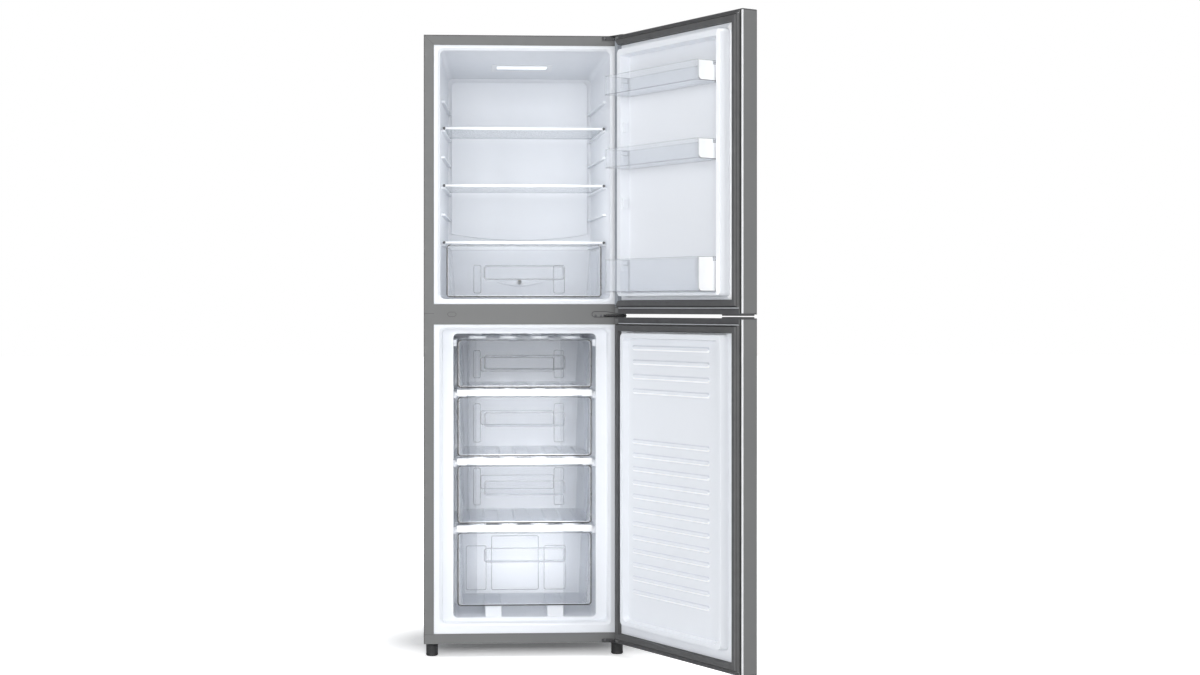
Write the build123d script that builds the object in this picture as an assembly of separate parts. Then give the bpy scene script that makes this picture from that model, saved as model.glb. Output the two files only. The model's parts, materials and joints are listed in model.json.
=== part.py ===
"""Bottom freezer refrigerator: fridge compartment above, four-drawer freezer below, both doors standing open.

Millimetres. X runs across the front to the right, Y to the back, Z up. The origin is on the floor, at the
middle of the cabinet's footprint. Doors and bins are modelled shut and then swung open about the hinge pins.
"""

import os
from math import atan2, degrees

from build123d import *

# ---------------------------------------------------------------- cabinet
cabinet_width = 550.0
cabinet_depth = 500.0
cabinet_top = 1687.0
foot_height = 36.0
sheet = 0.8  # steel of the outer wrap, rails and door skins
flange_width = 27.0  # front flange that the gasket meets
hem_depth = 9.0  # turned-in edge behind each front flange
bend_radius = 2.5
mullion_bottom = 902.0
mullion_top = 957.0
bottom_rail_height = 27.0
panel_recess = 5.0  # back panel inside the wrap's rear edge
panel_rib_width = 70.0
panel_rib_height = 3.5
panel_rib_count = 3

# ---------------------------------------------------------------- moulded liners
liner_wall = 1.5
outside_cut = 0.6  # cut of a corner outside a rounded one, as a share of its radius
inside_cut = 0.75  # cut of a corner inside a rounded one
rim_setback = 1.5  # liner rim behind the front flanges
back_insulation = 52.7  # between the fridge's back wall and the back panel
mouth_flare = 5.0
fridge_rim_side = 15.5  # rim between mouth and steel, at each side
fridge_narrowing = 21.5  # of each side wall, from mouth to back
fridge_mouth_margin = 13.0  # rim between mouth and steel, above and below
fridge_ceiling_drop = 24.0
fridge_floor_rise = 3.0
fridge_corner = 14.0
back_relief_margin = 10.0
back_relief_depth = 6.0
back_relief_rise = 194.0  # of its lower corners above the mouth's lower edge
back_relief_bow = 17.0
gutter_half = 66.0
gutter_dip = 12.0
gutter_lip = 3.0
gutter_reach = 6.0
gutter_gap = 1.0  # under the drain's opening
freezer_rim_side = 20.0
freezer_recess_margin = 13.0
freezer_recess_depth = 32.0
freezer_step_side = 33.0  # from the recess to the inner opening, at each side
freezer_inner_margin = 12.0  # from the recess to the inner opening, above and below
freezer_narrowing = 4.0
freezer_corner = 12.0
hump_insulation = 43.0  # in front of the machine bay
hump_slope_run = 40.0
hump_top = 316.0
floor_boss_width = 44.0
floor_boss_top = 131.0
floor_boss_offset = 85.0
floor_boss_ramp = 14.0

# ---------------------------------------------------------------- fridge shelves and crisper
shelf_setback = 78.0  # behind the front plane, clear of the door bins
shelf_rear_gap = 63.5
shelf_side_gap = 4.0
glass_thickness = 4.0
trim_height = 6.0
trim_depth = 16.0
trim_lip = 1.0  # of trim above and below the glass
shelf_tops = (1445.0, 1287.0)
crisper_cover_top = 1130.0
spare_ledge_tops = (1520.0, 1366.0, 1208.0)
ledge_width = 10.0
ledge_height = 6.0
ledge_gap = 0.3
crisper_side_gap = 18.5
crisper_taper = 10.0  # each side narrower at the bottom
crisper_floor_gap = 3.0
crisper_cover_gap = 3.0
crisper_rear_gap = 108.5
crisper_rim_drop = 8.0  # rim of the tray below the top of its front

# ---------------------------------------------------------------- freezer shelves and drawers
bar_tops = (723.5, 535.5, 352.0)
bar_height = 16.0
bar_depth = 14.0
bar_lead = 7.0  # bar in front of the drawers
bar_side_gap = 5.0
bar_clip_length = 34.0
bar_clip_drop = 2.5
coil_height = 8.0
coil_width = 8.0
coil_runs = 8
coil_pitch = 43.0
coil_rear_gap = 14.5
coil_above_bar = 4.5  # top of the coil above the bar's top
coil_ceiling_gap = 3.0
coil_front_gap = 1.0
cross_wire = 2.0
cross_wire_count = 2
cross_wire_side_gap = 4.0
freezer_ledge_reach = 9.0
freezer_ledge_height = 18.0
drawer_side_gap = 11.0
drawer_taper = 8.0  # each side narrower at the bottom
drawer_setback = 42.0
drawer_rear_gap = 54.5
hump_gap = 12.0  # behind the lowest drawer
drawer_wall = 2.5
drawer_corner = 9.0
drawer_head_gap = 4.0
drawer_seat_gap = 0.5
drawer_rear_narrowing = 6.0
drawer_rim = 5.0
grip_half = 108.0
grip_height = 34.0
grip_depth = 15.0
grip_drop = 45.0  # from the drawer's top edge to the grip's top
crisper_grip_drop = 60.0

# ---------------------------------------------------------------- doors
slab_thickness = 49.0
gasket_depth = 12.0
gasket_rest_gap = 0.4
gasket_width = 20.0
gasket_margin = 10.0  # from the door's edge
gasket_split_margin = 17.0  # from the edges where the two doors meet
door_corner = 6.0
door_return = 14.0  # skin turned in behind the door
door_split = 925.8
door_gap = 9.6
door_clearance = 0.4  # between a door and its hinge arm
door_open_angle = 119.5
pin_inset = 12.0  # from the door's hinge edge
pin_depth = 16.0  # in front of the door's inner face
cap_plate = 3.0
cap_wall = 2.0
cap_reach = 20.0
cap_boss_half = 9.0
finger_lip_length = 84.0
finger_lip_height = 3.4
door_liner_wall = 1.2
fridge_dike_gap = 5.5  # between the dike and the mouth it enters
fridge_dike_height = 30.0
fridge_dike_width = 22.0
fridge_dike_sill = 11.0  # width of the frame's lower side
freezer_dike_gap = 7.0
freezer_dike_height = 24.0
freezer_dike_width = 18.0
freezer_dike_sill = 18.0
dike_draft = 3.0
fridge_panel_height = 2.0
freezer_panel_height = 6.0
panel_corner = 12.0
fridge_pocket_corner = 5.0
freezer_pocket_corner = 14.0
rib_height = 14.0
rib_proud = 2.0
rib_draft = 1.0
rib_hinge_margin = 90.0
rib_free_margin = 122.0
upper_rib_tops = (848.0, 810.0, 771.5, 733.0)
lower_rib_top = 599.0
lower_rib_pitch = 36.4
lower_rib_count = 12
bin_reach = 85.0  # from the door's inner face
bin_back_gap = 2.0
bin_side_gap = 2.0
bin_wall = 2.0
bin_corner = 5.0
bin_spans = ((1510.5, 1561.0), (1317.0, 1367.0), (988.5, 1074.5))
bin_cap_thickness = 2.0
bin_cap_step = 9.0
bin_cap_corner = 10.0  # its lower front corner
lug_top_drop = 14.0
lug_height = 16.0
lug_depth = 16.0
lug_inset = 8.0
lug_proud = 1.7
hook_gap = 0.3
spare_lug_tops = (1443.0, 1240.0)
spare_lug_height = 28.0

# ---------------------------------------------------------------- hinges and feet
hinge_plate = 2.5
hinge_arm = 3.0
pin_radius = 4.0
pin_fit = 0.05
pin_length = 14.0
arm_eye_radius = 11.0
eye_flats = 12
hinge_leg_length = 55.0
hinge_leg_height = 9.5
middle_plate_reach = 94.0  # of its rounded end, from the cabinet's side
middle_plate_height = 16.6
middle_plate_straight = 30.0
plug_length = 24.0
plug_height = 13.0
plug_thickness = 1.2
plug_inset = 76.0
foot_inset = 22.0
foot_setback = 32.0
foot_radius = 16.5
foot_body_height = 30.0
stem_radius = 4.0
stem_length = 26.0
foot_bush_radius = 9.0  # of the circle round its six corners
foot_flats = 24
stem_flats = 12
foot_bush_height = 16.0
glide_width = 34.0
glide_length = 30.0
glide_inset = 35.0

# ---------------------------------------------------------------- machinery
pan_thickness = 1.0
bay_depth = 195.0
bay_slope_run = 25.0
bay_top = 261.0
plate_thickness = 1.5
plate_flange = 14.0
compressor_x = 70.0
compressor_radius = 66.0
compressor_height = 148.0
compressor_flats = 32
seam_height = 68.0  # of the weld round the pot, above its base
seam_thickness = 5.0
seam_reach = 3.0
compressor_foot_half_x = 84.0
compressor_foot_half_y = 58.0
grommet_radius = 11.0
grommet_height = 12.0
grommet_flats = 12
terminal_box_size = (46.0, 26.0, 52.0)
tray_half_x = 95.0
tray_half_y = 72.0
tray_height = 26.0
tray_wall = 2.0
tray_corner = 10.0
drain_radius = 8.0
drain_flats = 12
drain_wall = 1.5
drain_dip = 6.0  # of its lower end into the tray
drain_rise = 50.0  # of the drain's axis, above the fridge's floor
drain_lip = 2.0
pipe_radius = 3.2
pipe_standoff = 38.0  # discharge pipe from the compressor's side
pipe_sides = 8
pipe_bend = 12.0
drier_radius = 9.0
drier_length = 90.0
drier_flats = 12
drier_x = -190.0
lamp_length = 142.0
lamp_depth = 66.0
lamp_setback = 268.0
lamp_recess_height = 18.0
lamp_margin = 16.0
lens_thickness = 3.0
board_thickness = 1.6
cold_plate_margin = 26.0
cold_plate_span = (1150.0, 1560.0)
cold_plate_thickness = 1.2
condenser_runs = 6
condenser_pitch = 52.0
condenser_length = 1150.0
condenser_tube = 5.0
condenser_bottom = 330.0
condenser_pocket_margin = 6.0

# ---------------------------------------------------------------- places worked out from the sizes above
half_width = cabinet_width / 2
front = -cabinet_depth / 2
back = cabinet_depth / 2
opening_half = half_width - flange_width
opening_top = cabinet_top - flange_width
rail_top = foot_height + bottom_rail_height
panel_face = back - panel_recess
panel_inside = panel_face - sheet
rim_face = front + rim_setback
cavity_back = panel_inside - back_insulation
cavity_depth = cavity_back - rim_face

fridge_low = mullion_top + fridge_mouth_margin
fridge_high = opening_top - fridge_mouth_margin
freezer_low = rail_top + 2 * freezer_recess_margin
freezer_high = mullion_bottom - freezer_recess_margin
inner_low = freezer_low + freezer_inner_margin
inner_high = freezer_high - freezer_inner_margin
inner_front = rim_face + freezer_recess_depth
fridge_mouth_half = opening_half - fridge_rim_side
fridge_back_half = fridge_mouth_half - fridge_narrowing
freezer_recess_half = opening_half - freezer_rim_side
freezer_inner_half = freezer_recess_half - freezer_step_side
hump_front = back - bay_depth - hump_insulation

shelf_front = front + shelf_setback
shelf_back = cavity_back - shelf_rear_gap
crisper_half = fridge_mouth_half - crisper_side_gap
drawer_half = freezer_inner_half - drawer_side_gap
drawer_front = front + drawer_setback
bar_front = drawer_front - bar_lead
bar_half_length = freezer_inner_half - bar_side_gap
coil_turn_reach = (coil_pitch + coil_width) / 2
coil_start = bar_front + bar_depth + coil_front_gap + coil_turn_reach
coil_length = cavity_back - coil_rear_gap - coil_turn_reach - coil_start

slab_inner = front - gasket_depth
slab_outer = slab_inner - slab_thickness
pin_x = half_width - pin_inset
pin_y = slab_inner - pin_depth
upper_door_bottom = door_split + door_gap / 2
lower_door_top = door_split - door_gap / 2
hinge_arm_bottom = cabinet_top - hinge_arm
upper_door_top = hinge_arm_bottom - door_clearance
lower_door_bottom = foot_height + hinge_arm + 2 * door_clearance

bay_front = back - bay_depth
bay_ceiling_front = bay_front + bay_slope_run
pan_top = foot_height + pan_thickness
plate_top = foot_height + plate_thickness
compressor_y = (bay_ceiling_front + panel_inside) / 2
compressor_base = plate_top + grommet_height
tray_base = compressor_base + compressor_height
drain_y = (cavity_back + panel_inside) / 2
drain_z = fridge_low + fridge_floor_rise + drain_rise
cold_plate_half = fridge_back_half - cold_plate_margin
middle_plate_left = half_width - middle_plate_reach
plug_centre = plug_inset - half_width


# ---------------------------------------------------------------- helpers
def block(x, y, z):
    """A box between the two values given along each axis."""
    centre = Location(((x[0] + x[1]) / 2, (y[0] + y[1]) / 2, (z[0] + z[1]) / 2))
    return centre * Box(x[1] - x[0], y[1] - y[0], z[1] - z[0])


def outline_at(y, x, z, radius):
    """A rounded rectangle facing the back, at depth y."""
    plane = Plane(origin=((x[0] + x[1]) / 2, y, (z[0] + z[1]) / 2), x_dir=(1, 0, 0), z_dir=(0, 1, 0))
    return plane * RectangleRounded(x[1] - x[0], z[1] - z[0], radius)


def panel(x, y, z, radius):
    """A plate with rounded corners, its thickness along Y."""
    return extrude(outline_at(y[0], x, z, radius), amount=y[1] - y[0])


def tapered_block(near, far, y):
    """A flat-sided block between two upright rectangles, each ((x, x), (z, z)), at the depths y."""
    (x0, x1), (z0, z1) = near
    (u0, u1), (w0, w1) = far
    wedge = Wedge(x1 - x0, y[1] - y[0], z1 - z0, u0 - x0, w0 - z0, u1 - x0, w1 - z0, align=None)
    return Location((x0, y[0], z0)) * wedge


def rounded(body, radius):
    """The block with the four corners that run to the back rounded."""
    return fillet(body.edges().group_by(Axis.Y)[1], radius)


def cut(body, length):
    """The block with the four corners that run to the back cut flat."""
    return chamfer(body.edges().group_by(Axis.Y)[1], length)


def pad(x, y, z, draft):
    """A block standing on y[0] whose sides lean in by the draft over its height to y[1]."""
    return tapered_block((x, z), ((x[0] + draft, x[1] - draft), (z[0] + draft, z[1] - draft)), y)


def funnel(mouth, rear, y, radius, grow=0.0):
    """A space that changes evenly from the mouth to the rear; each is (half width, low, high).

    A space grown by a wall's thickness gets cut corners, which lie outside the rounded ones.
    """
    ends = [((-half - grow, half + grow), (low - grow, high + grow)) for half, low, high in (mouth, rear)]
    body = tapered_block(*ends, (y[0], y[1] + grow))
    return cut(body, outside_cut * radius) if grow else rounded(body, radius)


def prism_x(points, x):
    """A solid along X with the outline given as (y, z) points."""
    face = make_face(Polyline(*points, close=True))
    return extrude(Plane.YZ.offset(x[0]) * face, amount=x[1] - x[0])


def prism_z(points, z):
    """A solid along Z with the outline given as (x, y) points."""
    face = make_face(Polyline(*points, close=True))
    return extrude(Plane.XY.offset(z[0]) * face, amount=z[1] - z[0])


def pipe_z(x, y, z, radius):
    """A round bar along Z."""
    return Location((x, y, (z[0] + z[1]) / 2)) * Cylinder(radius, z[1] - z[0])


def flats_z(x, y, z, radius, sides, to_corners=True):
    """A bar along Z with flat sides; the radius reaches its corners, or else the middle of its flats."""
    outline = Location((x, y, z[0])) * RegularPolygon(radius, sides, major_radius=to_corners)
    return extrude(outline, amount=z[1] - z[0])


def serpentine(runs, pitch, length, width, thickness):
    """A flat tube laid back and forth in X and Y from the origin, every run along Y, with eight-sided turns."""
    outer, inner = (pitch + width) / 2, (pitch - width) / 2
    half_ring = RegularPolygon(outer, 8, major_radius=False, rotation=22.5)
    half_ring -= RegularPolygon(inner, 8, major_radius=False, rotation=22.5)
    half_ring -= Location((0, outer)) * Rectangle(2 * outer, 2 * outer)
    shape = Sketch()
    for run in range(runs):
        x = (run - (runs - 1) / 2) * pitch
        shape += Location((x, length / 2)) * Rectangle(width, length)
        if run < runs - 1:
            turn = Location((0, 0)) if run % 2 == 0 else Location((0, length), 180)
            shape += Location((x + pitch / 2, 0)) * turn * half_ring
    return extrude(shape, amount=thickness)


def level_fraction(y):
    """How far y lies from the cavity's mouth to its rear."""
    return (y - rim_face) / cavity_depth


def fridge_half_at(y):
    """Half the fridge compartment's width at depth y."""
    return fridge_mouth_half + (fridge_back_half - fridge_mouth_half) * level_fraction(y)


def swung(shape):
    """A door piece modelled shut, turned to where the doors stand open."""
    return shape.rotate(Axis((pin_x, pin_y, 0), (0, 0, 1)), door_open_angle)


# ---------------------------------------------------------------- cabinet shell
def wrap_block(inset):
    """The cabinet's outer form, or drawn in by the sheet thickness, with cut bends, its inside."""
    beyond = 1.0 if inset else 0.0
    body = block(
        (-half_width + inset, half_width - inset),
        (front + inset, back + beyond),
        (foot_height - beyond, cabinet_top - inset),
    )
    uprights = body.edges().filter_by(Axis.Z).group_by(Axis.Y)[0]
    brow = body.edges().filter_by(Axis.X).group_by(Axis.Z)[-1].group_by(Axis.Y)[0:1]
    shoulders = body.edges().filter_by(Axis.Y).group_by(Axis.Z)[-1]
    bends = uprights + brow[0] + shoulders
    return chamfer(bends, inside_cut * (bend_radius - inset)) if inset else fillet(bends, bend_radius)


def make_outer_wrap():
    """Two sides and the top in one folded sheet, with front flanges and turned-in hems."""
    shell = wrap_block(0.0) - wrap_block(sheet)
    shell -= block((-opening_half, opening_half), (front - 1, front + 1), (0, opening_top))
    hem_y = (front + sheet, front + sheet + hem_depth)
    for side in (-1, 1):
        edges = sorted((side * opening_half, side * (opening_half + sheet)))
        shell += block(edges, hem_y, (foot_height, opening_top))
    outer_hem = opening_half + sheet
    return shell + block((-outer_hem, outer_hem), hem_y, (opening_top, opening_top + sheet))


def make_rail(low, high):
    """A channel-section rail across the front, between the hems of the wrap."""
    across = (-opening_half, opening_half)
    legs_y = (front + sheet, front + sheet + hem_depth)
    rail = block(across, (front, front + sheet), (low, high))
    rail += block(across, legs_y, (high - sheet, high))
    return rail + block(across, legs_y, (low, low + sheet))


def bay_outline(lift):
    """The underside's line from front to back, raised by lift: floor, slope, machine bay ceiling."""
    return [
        (front + sheet, foot_height + lift),
        (bay_front - lift, foot_height + lift),
        (bay_ceiling_front - lift, bay_top + lift),
        (panel_inside, bay_top + lift),
    ]


def make_base_pan():
    """The folded bottom sheet, with a threaded bush for each front foot."""
    inside = (-half_width + sheet, half_width - sheet)
    pan = prism_x(bay_outline(0.0) + bay_outline(pan_thickness)[::-1], inside)
    hem_edge = opening_half + sheet
    pan -= block((-hem_edge, hem_edge), (front, front + sheet + hem_depth), (0, rail_top))
    for x in foot_places():
        pan += flats_z(x, foot_y(), (foot_height, foot_height + foot_bush_height), foot_bush_radius, 6)
        bore_z = (foot_height - 1, rail_top + foot_bush_height)
        pan -= flats_z(x, foot_y(), bore_z, stem_radius + pin_fit, stem_flats, to_corners=False)
    return (pan - drain_pipe_solid(0.0)) & wrap_block(sheet)


def rib_places():
    """Centres of the stiffening ribs pressed into the back panel."""
    pitch = cabinet_width / panel_rib_count
    return [(i - (panel_rib_count - 1) / 2) * pitch for i in range(panel_rib_count)]


def make_back_panel():
    """The rear sheet, with upright ribs pressed outwards."""
    span = (bay_top, cabinet_top - sheet)
    rear = block((-half_width + sheet, half_width - sheet), (panel_inside, panel_face), span)
    rib_z = (span[0] + panel_rib_width, span[1] - panel_rib_width)
    half = panel_rib_width / 2
    for x in rib_places():
        wide = (x - half, x + half)
        proud = (panel_face - sheet / 2, panel_face + panel_rib_height)
        rear += cut(pad(wide, proud, rib_z, panel_rib_height), half / 2)
        hollow = (x - half + sheet, x + half - sheet)
        hollow_z = (rib_z[0] + sheet, rib_z[1] - sheet)
        room = pad(hollow, (panel_inside - sheet, proud[1] - sheet), hollow_z, panel_rib_height)
        rear -= cut(room, half / 2)
    return rear & wrap_block(sheet)


def make_mullion_plug():
    """The blank cover over the unused hinge place on the free side."""
    ends = (plug_centre - plug_length / 2, plug_centre + plug_length / 2)
    middle = (mullion_bottom + mullion_top) / 2
    heights = (middle - plug_height / 2, middle + plug_height / 2)
    return cut(block(ends, (front - plug_thickness, front), heights), inside_cut * plug_height / 2)


# ---------------------------------------------------------------- moulded liners
def fridge_space(grow=0.0, narrower=0.0):
    """The fridge compartment, or the block that its liner's outside fills."""
    mouth = (fridge_mouth_half - narrower, fridge_low, fridge_high)
    rear = (fridge_back_half - narrower, fridge_low + fridge_floor_rise, fridge_high - fridge_ceiling_drop)
    return funnel(mouth, rear, (rim_face, cavity_back), fridge_corner, grow)


def flare(half, low, high, radius, grow=0.0):
    """The eased edge of a mouth, as a short run that narrows from the rim."""
    wide = (half + mouth_flare, low - mouth_flare, high + mouth_flare)
    depths = (rim_face, rim_face + mouth_flare)
    if grow:
        return funnel(wide, (half, low, high), depths, radius, grow)
    near = outline_at(depths[0], (-wide[0], wide[0]), wide[1:], radius)
    return loft([near, outline_at(depths[1], (-half, half), (low, high), radius)], ruled=True)


def rim_plate(low, high):
    """The liner's flat rim inside the steel opening."""
    return block((-opening_half, opening_half), (rim_face, rim_face + liner_wall), (low, high))


def ceiling_place():
    """Where the lamp sits: on the sloping ceiling, local Z pointing up into the insulation."""
    y = front + lamp_setback
    z = fridge_high - fridge_ceiling_drop * level_fraction(y)
    slope = degrees(atan2(fridge_ceiling_drop, cavity_depth))
    return Location((0, y, z), (-slope, 0, 0))


def lamp_box(grow, low, high):
    """A box in the lamp's place, from low to high above the ceiling surface."""
    size = Box(lamp_length + 2 * grow, lamp_depth + 2 * grow, high - low)
    return ceiling_place() * Location((0, 0, (low + high) / 2)) * size


def all_ledge_tops():
    """Heights at which a pair of shelf ledges stands."""
    seats = [top - trim_height + trim_lip - ledge_gap for top in shelf_tops + (crisper_cover_top,)]
    return seats + list(spare_ledge_tops)


def on_back_wall(face, reach):
    """An outline in X and Z as a solid that stands out of the fridge's back wall."""
    return extrude(Plane.XZ.offset(-cavity_back - 1) * face, amount=reach + 1)


def back_relief():
    """The cooled part of the back wall, slightly raised, with a lower edge bowed down to shed water."""
    half = fridge_back_half - back_relief_margin
    low, high = fridge_low + back_relief_rise, fridge_high - fridge_ceiling_drop - back_relief_margin
    sides = Polyline((half, low), (half, high), (-half, high), (-half, low))
    outline = make_face(sides + ThreePointArc((-half, low), (0, low - back_relief_bow), (half, low)))
    body = on_back_wall(outline, back_relief_depth)
    return fillet(body.edges().filter_by(Axis.Y).group_by(Axis.Z)[-1], fridge_corner)


def drip_gutter():
    """The bowed lip that leads defrost water to the drain in the middle of the back wall."""
    lowest = drain_z - drain_radius - gutter_gap
    ends = lowest + gutter_dip
    upper = ThreePointArc((-gutter_half, ends), (0, lowest), (gutter_half, ends))
    lower_ends = ends - gutter_lip
    lower = ThreePointArc((gutter_half, lower_ends), (0, lowest - gutter_lip), (-gutter_half, lower_ends))
    sides = [Line((side * gutter_half, lower_ends), (side * gutter_half, ends)) for side in (-1, 1)]
    return on_back_wall(make_face([upper, lower] + sides), gutter_reach)


def make_fridge_liner():
    """The white inner box of the fridge: shelf ledges, back relief, gutter, lamp recess, drain hole."""
    space = fridge_space()
    beside_shelves = space - fridge_space(narrower=ledge_width)
    ledges = Part()
    for top in all_ledge_tops():
        band = block(
            (-half_width, half_width),
            (shelf_front + trim_depth + ledge_gap, cavity_back + 1),
            (top - ledge_height, top),
        )
        ledges += band & beside_shelves
    mouth = (fridge_mouth_half, fridge_low, fridge_high)
    hollow = space - ledges - back_relief() - drip_gutter()
    hollow += flare(*mouth, fridge_corner)
    hollow += lamp_box(0.0, -liner_wall, lamp_recess_height)
    liner = fridge_liner_block() + rim_plate(mullion_top, opening_top) - hollow
    return liner - drain_pipe_solid(0.0)


def fridge_liner_block():
    """Everything inside the fridge liner's outer surface."""
    mouth = (fridge_mouth_half, fridge_low, fridge_high)
    body = fridge_space(liner_wall) + flare(*mouth, fridge_corner, liner_wall)
    return body + lamp_box(liner_wall, -liner_wall, lamp_recess_height + liner_wall)


def hump_block(inset):
    """The step over the machine bay at the bottom rear of the freezer."""
    start = hump_front + inset
    low = foot_height
    points = [
        (start, low),
        (start, inner_low),
        (start + hump_slope_run, hump_top - inset),
        (back, hump_top - inset),
        (back, low),
    ]
    return prism_x(points, (-half_width, half_width))


def freezer_space(grow=0.0, narrower=0.0):
    """The freezer's inner compartment above its hump."""
    mouth = (freezer_inner_half - narrower, inner_low, inner_high)
    rear = (freezer_inner_half - freezer_narrowing - narrower, inner_low, inner_high - freezer_narrowing)
    space = funnel(mouth, rear, (inner_front - 1, cavity_back), freezer_corner, grow)
    return space - hump_block(grow)


def freezer_recess(grow=0.0):
    """The shallow recess in front of the freezer's inner opening."""
    wide = (freezer_recess_half, freezer_low, freezer_high)
    close = (freezer_recess_half - freezer_narrowing, freezer_low + freezer_narrowing, freezer_high)
    return funnel(wide, close, (rim_face, inner_front), freezer_corner, grow)


def coil_tops():
    """Top of each evaporator shelf, highest first: one under the ceiling and one at each bar."""
    highest = inner_high - freezer_narrowing - coil_ceiling_gap
    return [highest] + [top + coil_above_bar for top in bar_tops]


def wire_bottom(coil_top):
    """Underside of the wires that carry a coil on the side ledges."""
    return coil_top - coil_height - cross_wire


def make_freezer_liner():
    """The white inner box of the freezer, with side ledges, floor rails and the hump."""
    space = freezer_space()
    beside = space - freezer_space(narrower=freezer_ledge_reach)
    ledge_front = bar_front + bar_depth
    fixed = Part()
    for top in coil_tops():
        seat = wire_bottom(top)
        band = block((-half_width, half_width), (ledge_front, back), (seat - freezer_ledge_height, seat))
        fixed += band & beside
    ramp_start = inner_front + floor_boss_ramp
    rail = [
        (ramp_start, inner_low - 1),
        (ramp_start + floor_boss_ramp, floor_boss_top),
        (hump_front + 1, floor_boss_top),
        (hump_front + 1, inner_low - 1),
    ]
    for x in (-floor_boss_offset, floor_boss_offset):
        fixed += prism_x(rail, (x - floor_boss_width / 2, x + floor_boss_width / 2)) & space
    hollow = space - fixed + freezer_recess()
    hollow += flare(freezer_recess_half, freezer_low, freezer_high, freezer_corner)
    return freezer_liner_block() + rim_plate(rail_top, mullion_bottom) - hollow


def freezer_liner_block():
    """Everything inside the freezer liner's outer surface."""
    edge = flare(freezer_recess_half, freezer_low, freezer_high, freezer_corner, liner_wall)
    return freezer_space(liner_wall) + freezer_recess(liner_wall) + edge


# ---------------------------------------------------------------- insulation and what is foamed in
def cold_plate_solid():
    """The fridge's evaporator plate, on the back of the liner."""
    face = cavity_back + liner_wall
    return block((-cold_plate_half, cold_plate_half), (face, face + cold_plate_thickness), cold_plate_span)


def condenser_places():
    """One serpentine condenser against each side wall, as (side, location)."""
    middle = (front + back) / 2
    for side in (-1, 1):
        x = side * (half_width - sheet)
        turn = Location((x, middle, condenser_bottom), (90, 0, 0)) * Location((0, 0, 0), (0, side * 90, 0))
        yield side, turn


def make_condensers():
    """Both skin condensers, standing upright inside the side walls."""
    coil = serpentine(condenser_runs, condenser_pitch, condenser_length, condenser_tube, condenser_tube)
    return [place * Location((0, 0, -condenser_tube)) * coil for _, place in condenser_places()]


def condenser_pockets():
    """Room left in the insulation for the skin condensers."""
    reach = condenser_runs * condenser_pitch / 2 + condenser_pocket_margin
    span = (
        condenser_bottom - condenser_pitch / 2 - condenser_pocket_margin,
        condenser_bottom + condenser_length + condenser_pitch / 2 + condenser_pocket_margin,
    )
    for side in (-1, 1):
        across = sorted((side * (half_width - sheet), side * (half_width - sheet - condenser_tube)))
        yield block(across, (-reach, reach), span)


def drain_pipe_solid(inset):
    """The defrost water pipe from the fridge's back wall down to the drip tray, or its bore."""
    radius = drain_radius - inset
    low = tray_base + tray_height - drain_dip
    down = flats_z(0, drain_y, (low, drain_z + radius / 2), radius, drain_flats)
    section = Plane((0, drain_y, drain_z), z_dir=(0, -1, 0)) * RegularPolygon(radius, drain_flats)
    return down + extrude(section, amount=drain_y - cavity_back + drain_lip)


def make_drain_tube():
    """The drain pipe, hollow from the fridge to its lower end."""
    bore = drain_pipe_solid(drain_wall)
    section = drain_radius - drain_wall
    beyond = (tray_base, tray_base + tray_height)
    bore += flats_z(0, drain_y, beyond, section, drain_flats)
    inlet = Plane((0, cavity_back, drain_z), z_dir=(0, -1, 0)) * RegularPolygon(section, drain_flats)
    return drain_pipe_solid(0.0) - bore - extrude(inlet, amount=2 * drain_lip)


def make_cabinet_foam():
    """The insulation between the wrap and the liners."""
    foam = wrap_block(sheet) & block(
        (-half_width, half_width), (front, panel_inside), (foot_height, cabinet_top)
    )
    below = bay_outline(pan_thickness) + [(back + 1, bay_top + pan_thickness), (back + 1, 0), (front, 0)]
    below.insert(0, (front, foot_height + pan_thickness))
    foam -= prism_x(below, (-half_width, half_width))
    for low, high in ((mullion_top, opening_top), (rail_top, mullion_bottom)):
        foam -= block((-opening_half, opening_half), (front, rim_face + liner_wall), (low, high))
    hem_edge = opening_half + sheet
    hem_y = (front, front + sheet + hem_depth)
    for side in (-1, 1):
        across = sorted((side * opening_half, side * hem_edge))
        foam -= block(across, hem_y, (foot_height, opening_top + sheet))
    foam -= block((-hem_edge, hem_edge), hem_y, (opening_top, opening_top + sheet))
    for low, high in ((foot_height, rail_top), (mullion_bottom, mullion_top)):
        foam -= make_rail(low, high)
    foam -= fridge_liner_block()
    foam -= freezer_liner_block()
    foam -= cold_plate_solid()
    for pocket in condenser_pockets():
        foam -= pocket
    foam -= drain_pipe_solid(0.0)
    for x in foot_places():
        foam -= flats_z(x, foot_y(), (foot_height, foot_height + foot_bush_height), foot_bush_radius, 6)
        foam -= flats_z(x, foot_y(), (foot_height, foot_body_height + stem_length + 2), stem_radius + 2, 6)
    return foam


# ---------------------------------------------------------------- lamp
def make_lamp_bezel():
    """The frame around the ceiling lamp."""
    return lamp_box(lamp_margin, -liner_wall, 0.0) - lamp_box(0.0, -liner_wall - 1, 1.0)


def make_lamp_lens():
    """The lamp's diffuser, flush in its frame."""
    lens = lamp_box(0.0, -liner_wall, lens_thickness)
    corners = lens.edges().filter_by(lambda e: abs(e.length - lens_thickness - liner_wall) < 0.01)
    return fillet(corners, 4.0)


def make_lamp_board():
    """The lighting board at the top of the lamp recess."""
    return lamp_box(-lamp_margin / 4, lamp_recess_height - board_thickness, lamp_recess_height)


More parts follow.
